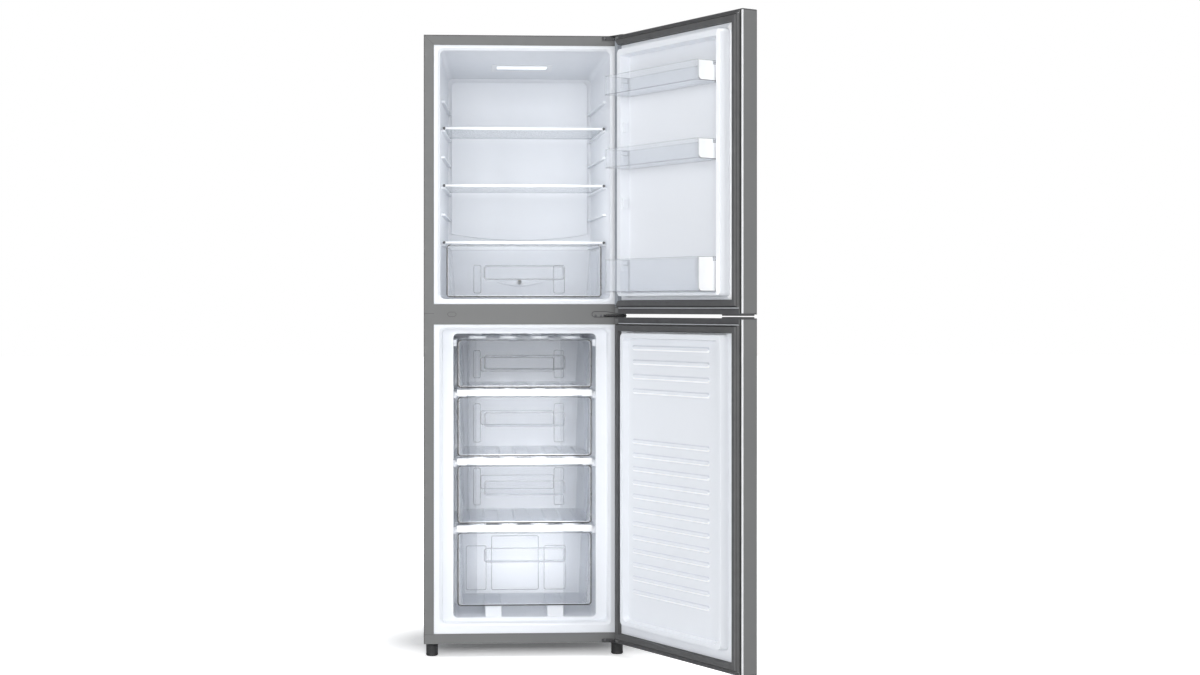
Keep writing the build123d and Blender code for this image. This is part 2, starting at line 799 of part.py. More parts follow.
# ---------------------------------------------------------------- freezer shelves
def make_evaporator_coils():
    """Four flat-tube shelves on cross wires, with the riser that links them behind the drawers."""
    wire_half = freezer_inner_half - cross_wire_side_gap
    shelves = []
    for top in coil_tops():
        coil = serpentine(coil_runs, coil_pitch, coil_length, coil_width, coil_height)
        shelf = Location((0, coil_start, top - coil_height)) * coil
        for i in range(cross_wire_count):
            y = coil_start + coil_length * (i + 0.5) / cross_wire_count
            wire_z = (wire_bottom(top), wire_bottom(top) + cross_wire)
            shelf += block((-wire_half, wire_half), (y, y + cross_wire), wire_z)
        shelves.append(shelf)
    last_run = (coil_runs - 1) / 2 * coil_pitch
    riser_y = (coil_start + coil_length, coil_start + coil_length + coil_width)
    tops = coil_tops()
    across = (-last_run - coil_width / 2, -last_run + coil_width / 2)
    shelves.append(block(across, riser_y, (tops[-1] - coil_height, tops[0])))
    return shelves


def make_shelf_bar(top):
    """The white front bar of a freezer shelf, rounded in front, with a clip foot at each end."""
    across = (-bar_half_length, bar_half_length)
    bar = block(across, (bar_front, bar_front + bar_depth), (top - bar_height, top))
    bar = fillet(bar.edges().filter_by(Axis.X).group_by(Axis.Y)[0], 3.0)
    clip_z = (top - bar_height - bar_clip_drop, top - bar_height)
    for side in (-1, 1):
        ends = sorted((side * bar_half_length, side * (bar_half_length - bar_clip_length)))
        bar += block(ends, (bar_front + 3, bar_front + bar_depth), clip_z)
    return bar


# ---------------------------------------------------------------- drawers and shelves
def make_drawer(half_top, half_bottom, z, y_front, depth, grip_top, rim_drop=0.0):
    """A clear open drawer: a tapered tub with a rim, and its clipped-on front with a sunk grip."""
    low, high = z
    y_back = y_front + depth
    inner_low_z = low + drawer_wall
    rim = high - rim_drop

    def tray(shrink, bottom):
        plans = []
        for level, half in ((bottom, half_bottom), (rim + shrink, half_top)):
            half_here = half - drawer_rim - shrink
            rear = half_here - drawer_rear_narrowing
            y0, y1 = y_front + shrink, y_back - shrink
            corners = [(-half_here, y0), (half_here, y0), (rear, y1), (-rear, y1)]
            plans.append(Plane.XY.offset(level) * make_face(Polyline(*corners, close=True)))
        return loft(plans, ruled=True)

    tub = tray(0.0, low)
    rim_rear = half_top - drawer_rear_narrowing
    rim_outline = [(-half_top, y_front), (half_top, y_front), (rim_rear, y_back), (-rim_rear, y_back)]
    tub += prism_z(rim_outline, (rim - drawer_wall, rim))
    tub -= tray(drawer_wall, inner_low_z)
    slab = (y_front, y_front + drawer_wall)
    tub -= block((-half_top - 1, half_top + 1), (y_front - 1, slab[1]), (low - 1, high + 1))
    face = panel((-half_top, half_top), slab, z, drawer_corner)
    grip = (grip_top - grip_height, grip_top)
    outer = (-grip_half - drawer_wall, grip_half + drawer_wall)
    outer_z = (grip[0] - drawer_wall, grip[1] + drawer_wall)
    face += cut(pad(outer, (y_front, y_front + grip_depth + drawer_wall), outer_z, 1.0), drawer_corner / 2)
    hollow = pad((-grip_half, grip_half), (y_front - 1, y_front + grip_depth), grip, 1.0)
    return [tub, face - cut(hollow, drawer_corner / 2 - 1)]


def make_crisper_drawer():
    """The vegetable drawer on the fridge's floor."""
    low = fridge_low + fridge_floor_rise + crisper_floor_gap
    span = (low, crisper_cover_top - trim_height - crisper_cover_gap)
    halves = (crisper_half, crisper_half - crisper_taper)
    depth = cavity_back - crisper_rear_gap - shelf_front
    return make_drawer(*halves, span, shelf_front, depth, span[1] - crisper_grip_drop, crisper_rim_drop)


def freezer_drawer_spans():
    """Bottom and top of each freezer drawer, highest first."""
    tops = coil_tops()
    roofs = [wire_bottom(tops[0]) - drawer_seat_gap] + [t - bar_height - drawer_head_gap for t in bar_tops]
    seats = [top + drawer_seat_gap for top in tops[1:]] + [floor_boss_top + drawer_seat_gap]
    return list(zip(seats, roofs))


def make_freezer_drawer(index):
    """One freezer drawer; the lowest is short because the hump stands behind it."""
    span = freezer_drawer_spans()[index]
    last = index == len(bar_tops)
    rear = hump_front - hump_gap if last else cavity_back - drawer_rear_gap
    halves = (drawer_half, drawer_half - drawer_taper)
    return make_drawer(*halves, span, drawer_front, rear - drawer_front, span[1] - grip_drop)


def shelf_plan(grow_front):
    """The glass shelf's outline, following the compartment's taper."""
    y0 = shelf_front + grow_front
    near, far = fridge_half_at(y0) - shelf_side_gap, fridge_half_at(shelf_back) - shelf_side_gap
    return [(-near, y0), (near, y0), (far, shelf_back), (-far, shelf_back)]


def make_shelf_glass(top):
    """The glass pane of a shelf whose trim reaches up to top."""
    upper = top - trim_lip
    return prism_z(shelf_plan(trim_lip), (upper - glass_thickness, upper))


def make_shelf_trim(top):
    """The moulded front edge that grips the pane."""
    near = fridge_half_at(shelf_front + trim_depth) - shelf_side_gap
    trim = block((-near, near), (shelf_front, shelf_front + trim_depth), (top - trim_height, top))
    trim = fillet(trim.edges().filter_by(Axis.X).group_by(Axis.Y)[0], 1.5)
    return trim - make_shelf_glass(top)


# ---------------------------------------------------------------- doors
def door_block(inset, z):
    """The door slab's form, drawn in by inset on its four upright faces."""
    body = block(
        (-half_width + inset, half_width - inset), (slab_outer + inset, slab_inner - inset), z
    )
    corners = body.edges().filter_by(Axis.Z).group_by(Axis.Y)[0]
    return chamfer(corners, inside_cut * (door_corner - inset)) if inset else fillet(corners, door_corner)


def make_door_skin(z):
    """The door's outer sheet: face, sides and the returns behind them."""
    span = (z[0] + cap_plate, z[1] - cap_plate)
    beyond = (z[0], z[1])
    skin = door_block(0.0, span) - door_block(sheet, beyond)
    inner = half_width - door_return
    return skin - block((-inner, inner), (slab_inner - sheet - 1, slab_inner + 1), beyond)


def pin_boss(z):
    """The square boss round a hinge pin."""
    across = (pin_x - cap_boss_half, pin_x + cap_boss_half)
    return block(across, (pin_y - cap_boss_half, pin_y + cap_boss_half), z)


def make_door_cap(end, into, inner_height, finger_lip):
    """An end cap: outer plate, walls inside the skin and a bored boss for the hinge pin.

    end is the door's end face, into is +1 where the door lies above it and -1 where it lies below.
    """

    def span(a, b):
        return sorted((end + into * a, end + into * b))

    cap = door_block(0.0, span(0, cap_plate))
    walls = span(cap_plate, cap_reach)
    cap += door_block(sheet, walls) - door_block(sheet + cap_wall, walls)
    inner = half_width - door_return
    cap += block((-inner, inner), (slab_inner - sheet - cap_wall, slab_inner), span(cap_plate, inner_height))
    cap += pin_boss(span(0, cap_reach)) & door_block(sheet, span(0, cap_reach))
    seat_y = (slab_inner - door_liner_wall, slab_inner)
    cap -= block((-inner, inner), seat_y, span(inner_height, cap_reach + 1))
    if finger_lip:
        ridge = (-half_width + door_corner, -half_width + finger_lip_length)
        lip = block(ridge, (slab_outer + door_corner, slab_inner - cap_wall), span(-finger_lip_height, 0))
        cap += lip
    return cap - pipe_z(pin_x, pin_y, span(-1, pin_length + 1), pin_radius + pin_fit)


def dike_outline(kind):
    """A door liner's frame: half width, (low, high), height, widths, panel height, pocket corner."""
    if kind == "fridge":
        half = fridge_mouth_half - fridge_dike_gap
        span = (fridge_low + fridge_dike_gap, fridge_high - fridge_dike_gap)
        widths = (fridge_dike_width, fridge_dike_sill)
        return half, span, fridge_dike_height, widths, fridge_panel_height, fridge_pocket_corner
    half = freezer_recess_half - freezer_dike_gap
    span = (freezer_low + freezer_dike_gap, freezer_high - freezer_dike_gap)
    widths = (freezer_dike_width, freezer_dike_sill)
    return half, span, freezer_dike_height, widths, freezer_panel_height, freezer_pocket_corner


def dike_parts(kind):
    """The liner's raised frame and the room behind it that the foam fills."""
    half, span, height, (width, sill), floor, corner = dike_outline(kind)
    wall = door_liner_wall
    raised = rounded(pad((-half, half), (slab_inner, slab_inner + height), span, dike_draft), panel_corner)
    across = (-half + wall, half - wall)
    depths = (slab_inner - wall, slab_inner + height - wall)
    behind = cut(pad(across, depths, (span[0] + wall, span[1] - wall), dike_draft), inside_cut * panel_corner)
    mouth = (half - width, span[0] + sill, span[1] - width)
    depths = (slab_inner + floor, slab_inner + height + 0.1)
    ends = [(mouth[0] + grow, mouth[1] - grow, mouth[2] + grow) for grow in (0.0, dike_draft)]
    pocket = funnel(*ends, depths, corner)
    pocket_shell = funnel(*ends, (depths[0] - wall, depths[1]), corner, wall)
    return raised, behind, pocket, pocket_shell


def panel_ribs():
    """The rounded bars moulded across the freezer door's inner panel."""
    tops = list(upper_rib_tops)
    tops += [lower_rib_top - i * lower_rib_pitch for i in range(lower_rib_count)]
    across = (rib_free_margin - half_width, half_width - rib_hinge_margin)
    base = slab_inner + freezer_panel_height
    ribs = Part()
    for top in tops:
        rib = pad(across, (base - 0.5, base + rib_proud), (top - rib_height, top), rib_draft)
        ribs += cut(rib, rib_height / 3)
    return ribs


def bin_lugs():
    """Pads on the dike's inner walls that the door bins hang on, and spare pairs between them."""
    half = dike_outline("fridge")[0] - fridge_dike_width
    spans = [(top - lug_top_drop - lug_height, top - lug_top_drop) for _, top in bin_spans]
    spans += [(top - spare_lug_height, top) for top in spare_lug_tops]
    depth = (slab_inner + lug_inset, slab_inner + lug_inset + lug_depth)
    lugs = Part()
    for low, high in spans:
        for side in (-1, 1):
            across = sorted((side * (half + dike_draft), side * (half - lug_proud)))
            lugs += block(across, depth, (low, high))
    return lugs & dike_parts("fridge")[2]


def door_liner_edges(z, low_reach, high_reach):
    """The door liner's flat border, between the skin's returns and the two caps."""
    inner = half_width - door_return
    return block(
        (-inner, inner), (slab_inner - door_liner_wall, slab_inner), (z[0] + low_reach, z[1] - high_reach)
    )


def make_door_liner(kind, z, reaches):
    """The moulded inner panel: border, raised dike and sunk middle."""
    raised, behind, pocket, pocket_shell = dike_parts(kind)
    liner = door_liner_edges(z, *reaches) + raised - pocket
    liner -= behind - pocket_shell
    return liner + (bin_lugs() if kind == "fridge" else panel_ribs())


def make_door_foam(kind, z, reaches, caps):
    """The door's insulation, up into the dike."""
    _, behind, _, pocket_shell = dike_parts(kind)
    core = door_block(sheet, (z[0] + cap_plate, z[1] - cap_plate))
    core -= block((-half_width, half_width), (slab_inner - door_liner_wall, slab_inner), z)
    core += behind - pocket_shell
    for cap in caps:
        core -= cap
    return core - pin_boss((z[0] - 1, z[0] + cap_reach)) - pin_boss((z[1] - cap_reach, z[1] + 1))


def make_gasket(z, low_margin, high_margin):
    """The magnetic seal: broad base, raised bulb and a thin outer lip."""

    def ring(start, end, low, high):
        frames = []
        for inset in (start, end):
            half = half_width - gasket_margin - inset
            span = (z[0] + low_margin + inset, z[1] - high_margin - inset)
            frames.append(block((-half, half), (slab_inner + low, slab_inner + high), span))
        return frames[0] - frames[1]

    full = gasket_depth - gasket_rest_gap
    third = full / 3
    base = ring(0.0, gasket_width, 0.0, third)
    bulb = ring(gasket_width / 5, gasket_width - 1.5, third, full)
    lip = ring(0.0, gasket_width / 10, third, 2 * third)
    return base + bulb + lip


def make_door(kind, z, split_end):
    """Every piece of one door, shut, by name."""
    bottom_split = split_end == "bottom"
    low_margin = gasket_split_margin if bottom_split else gasket_margin
    high_margin = gasket_margin if bottom_split else gasket_split_margin
    reaches = (low_margin - 2, high_margin - 2)
    bottom_cap = make_door_cap(z[0], 1, reaches[0], bottom_split)
    top_cap = make_door_cap(z[1], -1, reaches[1], not bottom_split)
    return {
        f"{kind}_door_skin": make_door_skin(z),
        f"{kind}_door_top_cap": top_cap,
        f"{kind}_door_bottom_cap": bottom_cap,
        f"{kind}_door_liner": make_door_liner(kind, z, reaches),
        f"{kind}_door_gasket": make_gasket(z, low_margin, high_margin),
        f"{kind}_door_foam": make_door_foam(kind, z, reaches, (bottom_cap, top_cap)),
    }


# ---------------------------------------------------------------- door bins
def bin_place():
    """Half width of the dike's inner walls, and the bins' back and front planes."""
    half = dike_outline("fridge")[0] - fridge_dike_width
    return half, slab_inner + fridge_panel_height + bin_back_gap, slab_inner + bin_reach


def make_door_bin(z):
    """A clear door bin with a hook at each end that drops over the dike's lugs."""
    half, y_back, y_front = bin_place()
    ends = (-half + bin_side_gap + bin_cap_thickness, half - bin_side_gap)
    tray = block(ends, (y_back, y_front), z)
    tray = fillet(tray.edges().filter_by(Axis.Z), bin_corner)
    hollow = block(
        (ends[0] + bin_wall, ends[1] - bin_wall),
        (y_back + bin_wall, y_front - bin_wall),
        (z[0] + bin_wall, z[1] + 1),
    )
    tray -= chamfer(hollow.edges().filter_by(Axis.Z), inside_cut * (bin_corner - bin_wall))
    seat = z[1] - lug_top_drop + hook_gap
    hook_y = (slab_inner + lug_inset, slab_inner + lug_inset + lug_depth)
    return tray + block((ends[1] - bin_wall, half - hook_gap), hook_y, (seat, z[1] - 2))


def make_bin_cap(z):
    """The white plate on a bin's free end, with its own hook and a turned lower edge."""
    half, y_back, y_front = bin_place()
    outer = -half + bin_side_gap
    inner = outer + bin_cap_thickness
    low, high = z
    notch = y_back + fridge_dike_height
    points = [
        (y_back + 4, low),
        (y_front - bin_corner, low),
        (y_front - bin_corner, high),
        (notch, high),
        (notch, high - bin_cap_step),
        (y_back + 4, high - bin_cap_step),
    ]
    plate = prism_x(points, (outer, inner))
    lowest = plate.edges().filter_by(Axis.X).group_by(Axis.Z)[0]
    plate = fillet(lowest.sort_by(Axis.Y)[-1], bin_cap_corner)
    seat = high - lug_top_drop + hook_gap
    hook_y = (slab_inner + lug_inset, slab_inner + lug_inset + lug_depth)
    return plate + block((-half + hook_gap, inner), hook_y, (seat, high - bin_cap_step))


# ---------------------------------------------------------------- hinges
def arm_plate(low, thickness, root_left):
    """A flat hinge arm from the cabinet's front face to the eye around the pin."""
    eye = flats_z(pin_x, pin_y, (low, low + thickness), arm_eye_radius, eye_flats)
    right = pin_x + arm_eye_radius
    web = prism_z(
        [(root_left, front), (pin_x - arm_eye_radius, pin_y), (right, pin_y), (right, front)],
        (low, low + thickness),
    )
    return eye + web


def leg_plate(x, z):
    """The screwed leg of a hinge, flat on the cabinet's front, with cut corners."""
    return cut(block(x, (front - hinge_plate, front), z), hinge_leg_height / 4)


def leg_span():
    """From the rounded free end of a hinge leg to its arm."""
    right = pin_x + arm_eye_radius
    return right - hinge_leg_length - arm_eye_radius, right - 1


def make_hinge_top():
    """The upper bracket, its pin pointing down into the fridge door."""
    leg_z = (hinge_arm_bottom - hinge_leg_height, hinge_arm_bottom + 1)
    bracket = arm_plate(hinge_arm_bottom, hinge_arm, leg_span()[0] + 20)
    bracket += leg_plate(leg_span(), leg_z)
    return bracket + pipe_z(pin_x, pin_y, (hinge_arm_bottom - pin_length, hinge_arm_bottom), pin_radius)


def make_hinge_middle():
    """The plate on the mullion whose arm carries both doors on one pin."""
    middle = (mullion_bottom + mullion_top) / 2
    half = middle_plate_height / 2
    arm_low = door_split - hinge_arm / 2
    straight_end = middle_plate_left + middle_plate_straight
    ends = (middle_plate_left, straight_end + half)
    plate = panel(ends, (front - hinge_plate, front), (middle - half, middle + half), half - 0.3)
    right = pin_x + arm_eye_radius - 1
    taper = [
        (straight_end, middle - half),
        (straight_end + half, middle - half),
        (right, arm_low - 1),
        (right, arm_low + hinge_arm + 1),
        (straight_end + half, middle + half),
        (straight_end, middle + half),
    ]
    face = make_face(Polyline(*taper, close=True))
    plate += extrude(Plane.XZ.offset(-front) * face, amount=hinge_plate)
    plate += arm_plate(arm_low, hinge_arm, straight_end)
    return plate + pipe_z(pin_x, pin_y, (door_split - pin_length, door_split + pin_length), pin_radius)


def make_hinge_bottom():
    """The lower bracket, its pin pointing up into the freezer door."""
    low = foot_height + door_clearance
    bracket = arm_plate(low, hinge_arm, leg_span()[0] + 20)
    bracket += leg_plate(leg_span(), (low, low + hinge_leg_height + 1))
    return bracket + pipe_z(pin_x, pin_y, (low, low + hinge_arm + pin_length), pin_radius)


# ---------------------------------------------------------------- feet
def foot_places():
    """X of the left and the right front foot."""
    return (-half_width + foot_inset, half_width - foot_inset)


def foot_y():
    """Depth of the front feet."""
    return front + foot_setback


def make_front_foot(x):
    """A levelling foot: a base with narrow flats to grip, and its stem."""
    base = flats_z(x, foot_y(), (0, foot_body_height), foot_radius, foot_flats)
    base = chamfer(base.edges().group_by(Axis.Z)[0], 2.5)
    stem_z = (foot_body_height, foot_body_height + stem_length)
    return base + flats_z(x, foot_y(), stem_z, stem_radius, stem_flats)


def make_rear_glides():
    """Fixed rear feet under the machine plate."""
    glides = []
    for side in (-1, 1):
        x = side * (half_width - glide_inset)
        across = (x - glide_width / 2, x + glide_width / 2)
        glide = block(across, (back - glide_length - 12, back - 12), (0, foot_height))
        glides.append(chamfer(glide.edges().group_by(Axis.Z)[0], 3.0))
    return glides


# ---------------------------------------------------------------- machinery
def grommet_places():
    """The four rubber mounts under the compressor's feet."""
    return [
        (compressor_x + sx * (compressor_foot_half_x - grommet_radius),
         compressor_y + sy * (compressor_foot_half_y - grommet_radius))
        for sx in (-1, 1)
        for sy in (-1, 1)
    ]


def make_compressor_plate():
    """The steel plate across the bottom rear that carries the compressor and the rear feet."""
    across = (-half_width + sheet, half_width - sheet)
    y = (bay_front + 6, back - 8)
    plate = block(across, y, (foot_height, plate_top))
    lip_z = (plate_top, plate_top + plate_flange)
    return plate + block(across, (y[1] - plate_thickness, y[1]), lip_z)


def sloped_end(body, end, inward, along):
    """The body with the rim of its lowest (0) or highest (-1) face cut to a slope."""
    face = body.faces().sort_by(Axis.Z)[end]
    return chamfer(face.edges(), inward, along, reference=face)


def make_compressor():
    """A welded hermetic pot on its foot plate, round in narrow flats."""
    span = (compressor_base, compressor_base + compressor_height)
    pot = flats_z(compressor_x, compressor_y, span, compressor_radius, compressor_flats)
    pot = sloped_end(pot, 0, 12.0, 14.0)
    pot = sloped_end(pot, -1, 16.0, 32.0)
    pot = sloped_end(pot, -1, 16.0, 13.4)
    seam = (compressor_base + seam_height, compressor_base + seam_height + seam_thickness)
    pot += flats_z(compressor_x, compressor_y, seam, compressor_radius + seam_reach, compressor_flats)
    foot_x = (compressor_x - compressor_foot_half_x, compressor_x + compressor_foot_half_x)
    foot_span_y = (compressor_y - compressor_foot_half_y, compressor_y + compressor_foot_half_y)
    feet = block(foot_x, foot_span_y, (compressor_base, compressor_base + 3))
    feet = chamfer(feet.edges().filter_by(Axis.Z), grommet_radius / 2)
    for side in (-1, 1):
        notch_y = sorted((compressor_y + side * 26, compressor_y - side * 26))
        notch_x = sorted((compressor_x + side * 68, compressor_x + side * 90))
        feet -= block(notch_x, notch_y, (compressor_base - 1, compressor_base + 4))
    return pot + feet


def make_grommets():
    """Rubber mounts between the machine plate and the compressor's feet."""
    height = (plate_top, compressor_base)
    return [flats_z(x, y, height, grommet_radius, grommet_flats) for x, y in grommet_places()]


def make_terminal_box():
    """The compressor's electrical cover with the socket for the supply."""
    wide, deep, high = terminal_box_size
    right = compressor_x - compressor_radius - seam_reach - 0.4
    x = (right - deep, right)
    y = (compressor_y - wide / 2, compressor_y + wide / 2)
    z = (compressor_base + 34, compressor_base + 34 + high)
    cover = block(x, y, z)
    cover = chamfer(cover.edges().group_by(Axis.X)[0], 4.0)
    stub = block((right, compressor_x), (compressor_y - 12, compressor_y + 12), (z[0] + 8, z[1] - 8))
    socket = block((x[0] - 1, x[0] + 12), (compressor_y - 11, compressor_y + 11), (z[0] + 8, z[0] + 24))
    return cover + stub - make_compressor() - socket


def flat_sided_pipe(points, radius, bend):
    """A pipe of flat sides along straight runs whose corners are cut by short slanted runs."""
    corners = [Vector(*point) for point in points]
    route = [corners[0]]
    for before, corner, after in zip(corners, corners[1:], corners[2:]):
        route.append(corner + (before - corner).normalized() * bend)
        route.append(corner + (after - corner).normalized() * bend)
    path = Polyline(*route, corners[-1])
    profile = Plane(origin=path @ 0, z_dir=path % 0) * RegularPolygon(radius, pipe_sides)
    return sweep(profile, path=path, transition=Transition.RIGHT)


def make_refrigerant_pipes():
    """Discharge and suction pipes of the bay, and the filter drier."""
    top = compressor_base + 100
    left = compressor_x - compressor_radius
    high = bay_top - 12
    discharge = flat_sided_pipe(
        [
            (compressor_x + compressor_radius - 2, compressor_y, top - 40),
            (compressor_x + compressor_radius + pipe_standoff, compressor_y, top - 40),
            (compressor_x + compressor_radius + pipe_standoff, compressor_y, high - 30),
            (half_width - sheet - 20, compressor_y + 20, high - 30),
            (half_width - sheet - 20, compressor_y + 20, bay_top - 0.2),
        ],
        pipe_radius,
        pipe_bend,
    )
    suction = flat_sided_pipe(
        [
            (left + 2, compressor_y - 30, top - 10),
            (left - 45, compressor_y - 30, top - 10),
            (left - 45, compressor_y + 20, top - 10),
            (left - 45, compressor_y + 20, bay_top - 0.2),
        ],
        pipe_radius,
        pipe_bend,
    )
    body_z = (high - 40 - drier_length, high - 40)
    drier = flats_z(drier_x, compressor_y, body_z, drier_radius, drier_flats)
    drier = chamfer(drier.edges().group_by(Axis.Z)[0] + drier.edges().group_by(Axis.Z)[-1], 3.0)
    drier += flats_z(drier_x, compressor_y, (body_z[1] - 1, bay_top - 0.2), pipe_radius, pipe_sides)
    pot = make_compressor()
    return [discharge - pot, suction - pot, drier]


def make_drip_tray():
    """The open tray on top of the compressor that catches and evaporates defrost water."""
    x = (compressor_x - tray_half_x, compressor_x + tray_half_x)
    y = (compressor_y - tray_half_y, compressor_y + tray_half_y)
    tray = block(x, y, (tray_base, tray_base + tray_height))
    tray = fillet(tray.edges().filter_by(Axis.Z), tray_corner)
    hollow = block(
        (x[0] + tray_wall, x[1] - tray_wall),
        (y[0] + tray_wall, y[1] - tray_wall),
        (tray_base + tray_wall, tray_base + tray_height + 1),
    )
    return tray - chamfer(hollow.edges().filter_by(Axis.Z), inside_cut * (tray_corner - tray_wall))


# ---------------------------------------------------------------- assembly
def make_cabinet():
    """The pieces that stay with the cabinet."""
    nodes = {
        "outer_wrap": make_outer_wrap(),
        "back_panel": make_back_panel(),
        "base_pan": make_base_pan(),
        "compressor_plate": make_compressor_plate(),
        "mullion_rail": make_rail(mullion_bottom, mullion_top),
        "bottom_rail": make_rail(foot_height, rail_top),
        "fridge_liner": make_fridge_liner(),
        "freezer_liner": make_freezer_liner(),
        "cabinet_foam": make_cabinet_foam(),
        "lamp_bezel": make_lamp_bezel(),
        "lamp_lens": make_lamp_lens(),
        "lamp_board": make_lamp_board(),
        "evaporator_coils": make_evaporator_coils(),
        "cold_plate": cold_plate_solid(),
        "compressor": make_compressor(),
        "compressor_terminal_box": make_terminal_box(),
        "compressor_grommets": make_grommets(),
        "refrigerant_pipes": make_refrigerant_pipes(),
        "skin_condensers": make_condensers(),
        "drip_tray": make_drip_tray(),
        "drain_tube": make_drain_tube(),
        "hinge_top": make_hinge_top(),
        "hinge_middle": make_hinge_middle(),
        "hinge_bottom": make_hinge_bottom(),
        "mullion_plug": make_mullion_plug(),
        "rear_glides": make_rear_glides(),
    }
    for number, top in enumerate(bar_tops, 1):
        nodes[f"freezer_shelf_bar_{number}"] = make_shelf_bar(top)
    return nodes


def make_loose_parts():
    """Feet, shelves and drawers."""
    left, right = foot_places()
    nodes = {
        "front_foot_left": make_front_foot(left),
        "front_foot_right": make_front_foot(right),
        "crisper_cover_glass": make_shelf_glass(crisper_cover_top),
        "crisper_cover_trim": make_shelf_trim(crisper_cover_top),
        "crisper_drawer": make_crisper_drawer(),
    }
    for number, top in enumerate(shelf_tops, 1):
        nodes[f"fridge_shelf_{number}_glass"] = make_shelf_glass(top)
        nodes[f"fridge_shelf_{number}_trim"] = make_shelf_trim(top)
    for index in range(len(bar_tops) + 1):
        nodes[f"freezer_drawer_{index + 1}"] = make_freezer_drawer(index)
    return nodes


def make_doors():
    """Both doors and the bins, swung open."""
    shut = make_door("fridge", (upper_door_bottom, upper_door_top), "bottom")
    shut |= make_door("freezer", (lower_door_bottom, lower_door_top), "top")
    for number, span in enumerate(bin_spans, 1):
        shut[f"door_bin_{number}"] = make_door_bin(span)
        shut[f"door_bin_{number}_end_cap"] = make_bin_cap(span)
    return {name: swung(shape) for name, shape in shut.items()}


def export(nodes):
    """Write every node to its own STEP file."""
    os.makedirs("parts", exist_ok=True)
    for name, shape in nodes.items():
        whole = Compound(children=list(shape)) if isinstance(shape, list) else shape
        export_step(whole, f"parts/{name}.step")


export(make_cabinet() | make_loose_parts() | make_doors())
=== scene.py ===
"""Bottom freezer refrigerator with both doors open: finishes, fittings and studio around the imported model."""

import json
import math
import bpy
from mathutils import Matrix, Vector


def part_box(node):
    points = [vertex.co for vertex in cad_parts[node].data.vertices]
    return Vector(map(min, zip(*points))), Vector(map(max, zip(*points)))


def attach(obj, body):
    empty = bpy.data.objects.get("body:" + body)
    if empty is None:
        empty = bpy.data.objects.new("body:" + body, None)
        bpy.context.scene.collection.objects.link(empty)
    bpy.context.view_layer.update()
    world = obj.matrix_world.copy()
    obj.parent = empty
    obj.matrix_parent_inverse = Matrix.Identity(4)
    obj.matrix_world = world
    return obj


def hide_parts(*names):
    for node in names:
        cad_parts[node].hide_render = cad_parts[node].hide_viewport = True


bl_info = {
    "name": "Bottom freezer refrigerator",
    "version": (1, 0, 0),
    "blender": (4, 5, 0),
    "location": "View3D > Sidebar > Refrigerator",
    "description": "Finishes and fittings of a two-door refrigerator, and its studio",
    "category": "Object",
}

import bmesh
import bpy
from bpy.props import FloatProperty, FloatVectorProperty, PointerProperty
from mathutils import Matrix, Vector
from mathutils.bvhtree import BVHTree

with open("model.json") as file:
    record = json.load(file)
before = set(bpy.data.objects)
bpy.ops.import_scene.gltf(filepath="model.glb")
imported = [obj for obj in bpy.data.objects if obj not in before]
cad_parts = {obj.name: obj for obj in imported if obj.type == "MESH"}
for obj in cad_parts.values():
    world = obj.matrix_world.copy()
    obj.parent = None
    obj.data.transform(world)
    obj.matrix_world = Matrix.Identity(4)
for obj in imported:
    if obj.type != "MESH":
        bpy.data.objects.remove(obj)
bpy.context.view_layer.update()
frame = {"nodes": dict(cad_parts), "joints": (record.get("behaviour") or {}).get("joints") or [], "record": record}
JOINTS = {joint["name"]: joint for joint in frame["joints"]}
PIN = Vector(JOINTS["fridge_door_hinge"]["pos_m"])
OPEN_ANGLE = -math.radians(JOINTS["fridge_door_hinge"]["range_deg"][0])
OPEN_TURN = (
    Matrix.Translation(PIN) @ Matrix.Rotation(OPEN_ANGLE, 4, "Z") @ Matrix.Translation(-PIN)
)
RECORD = frame["record"]
BODY_OF = {node: body for body, nodes in RECORD["behaviour"]["bodies"].items() for node in nodes}
SLOT_OF = {part["node"]: part["material_slot"] for part in RECORD["subparts"]}
MM = 0.001
DRAWERS = [f"freezer_drawer_{i}" for i in (1, 2, 3, 4)]
BARS = [f"freezer_shelf_bar_{i}" for i in (1, 2, 3)]
BINS = [f"door_bin_{i}" for i in (1, 2, 3)]
SHELVES = ["fridge_shelf_1", "fridge_shelf_2", "crisper_cover"]
DOORS = ["fridge_door", "freezer_door"]
POT_RADIUS = 66  # of the compressor, in mm
GRIP_REACH = 0.118  # how far a drawer's grip reaches to each side
# The part of a freezer drawer's rear wall left without painted shade, and the outlines moulded in the rear walls:
# each from left to right, then from this far above the foot (or None) to this far below the top.
REAR_PANEL = (-0.128, 0.118)
RIDGES = {
    "freezer_drawer_4": (
        (-0.1595, -0.1015, 0.012, 0.062), (-0.0875, 0.0475, 0.012, 0.034), (0.0625, 0.1245, 0.012, 0.062),
    ),
    "crisper_drawer": ((-0.137, -0.115, 0.013, 0.05), (0.094, 0.127, 0.013, 0.05)),
    "others": (
        (-0.137, -0.1155, 0.013, 0.036), (0.0985, 0.1275, 0.013, 0.036), (-0.1155, 0.0985, None, 0.057),
    ),
}


def length(name, description, default):
    """A length setting, given in millimetres."""
    return FloatProperty(
        name=name, description=description, default=default * MM, unit="LENGTH", precision=5
    )


def power(name, description, default):
    """The power of a lamp, in watts."""
    return FloatProperty(name=name, description=description, default=default)


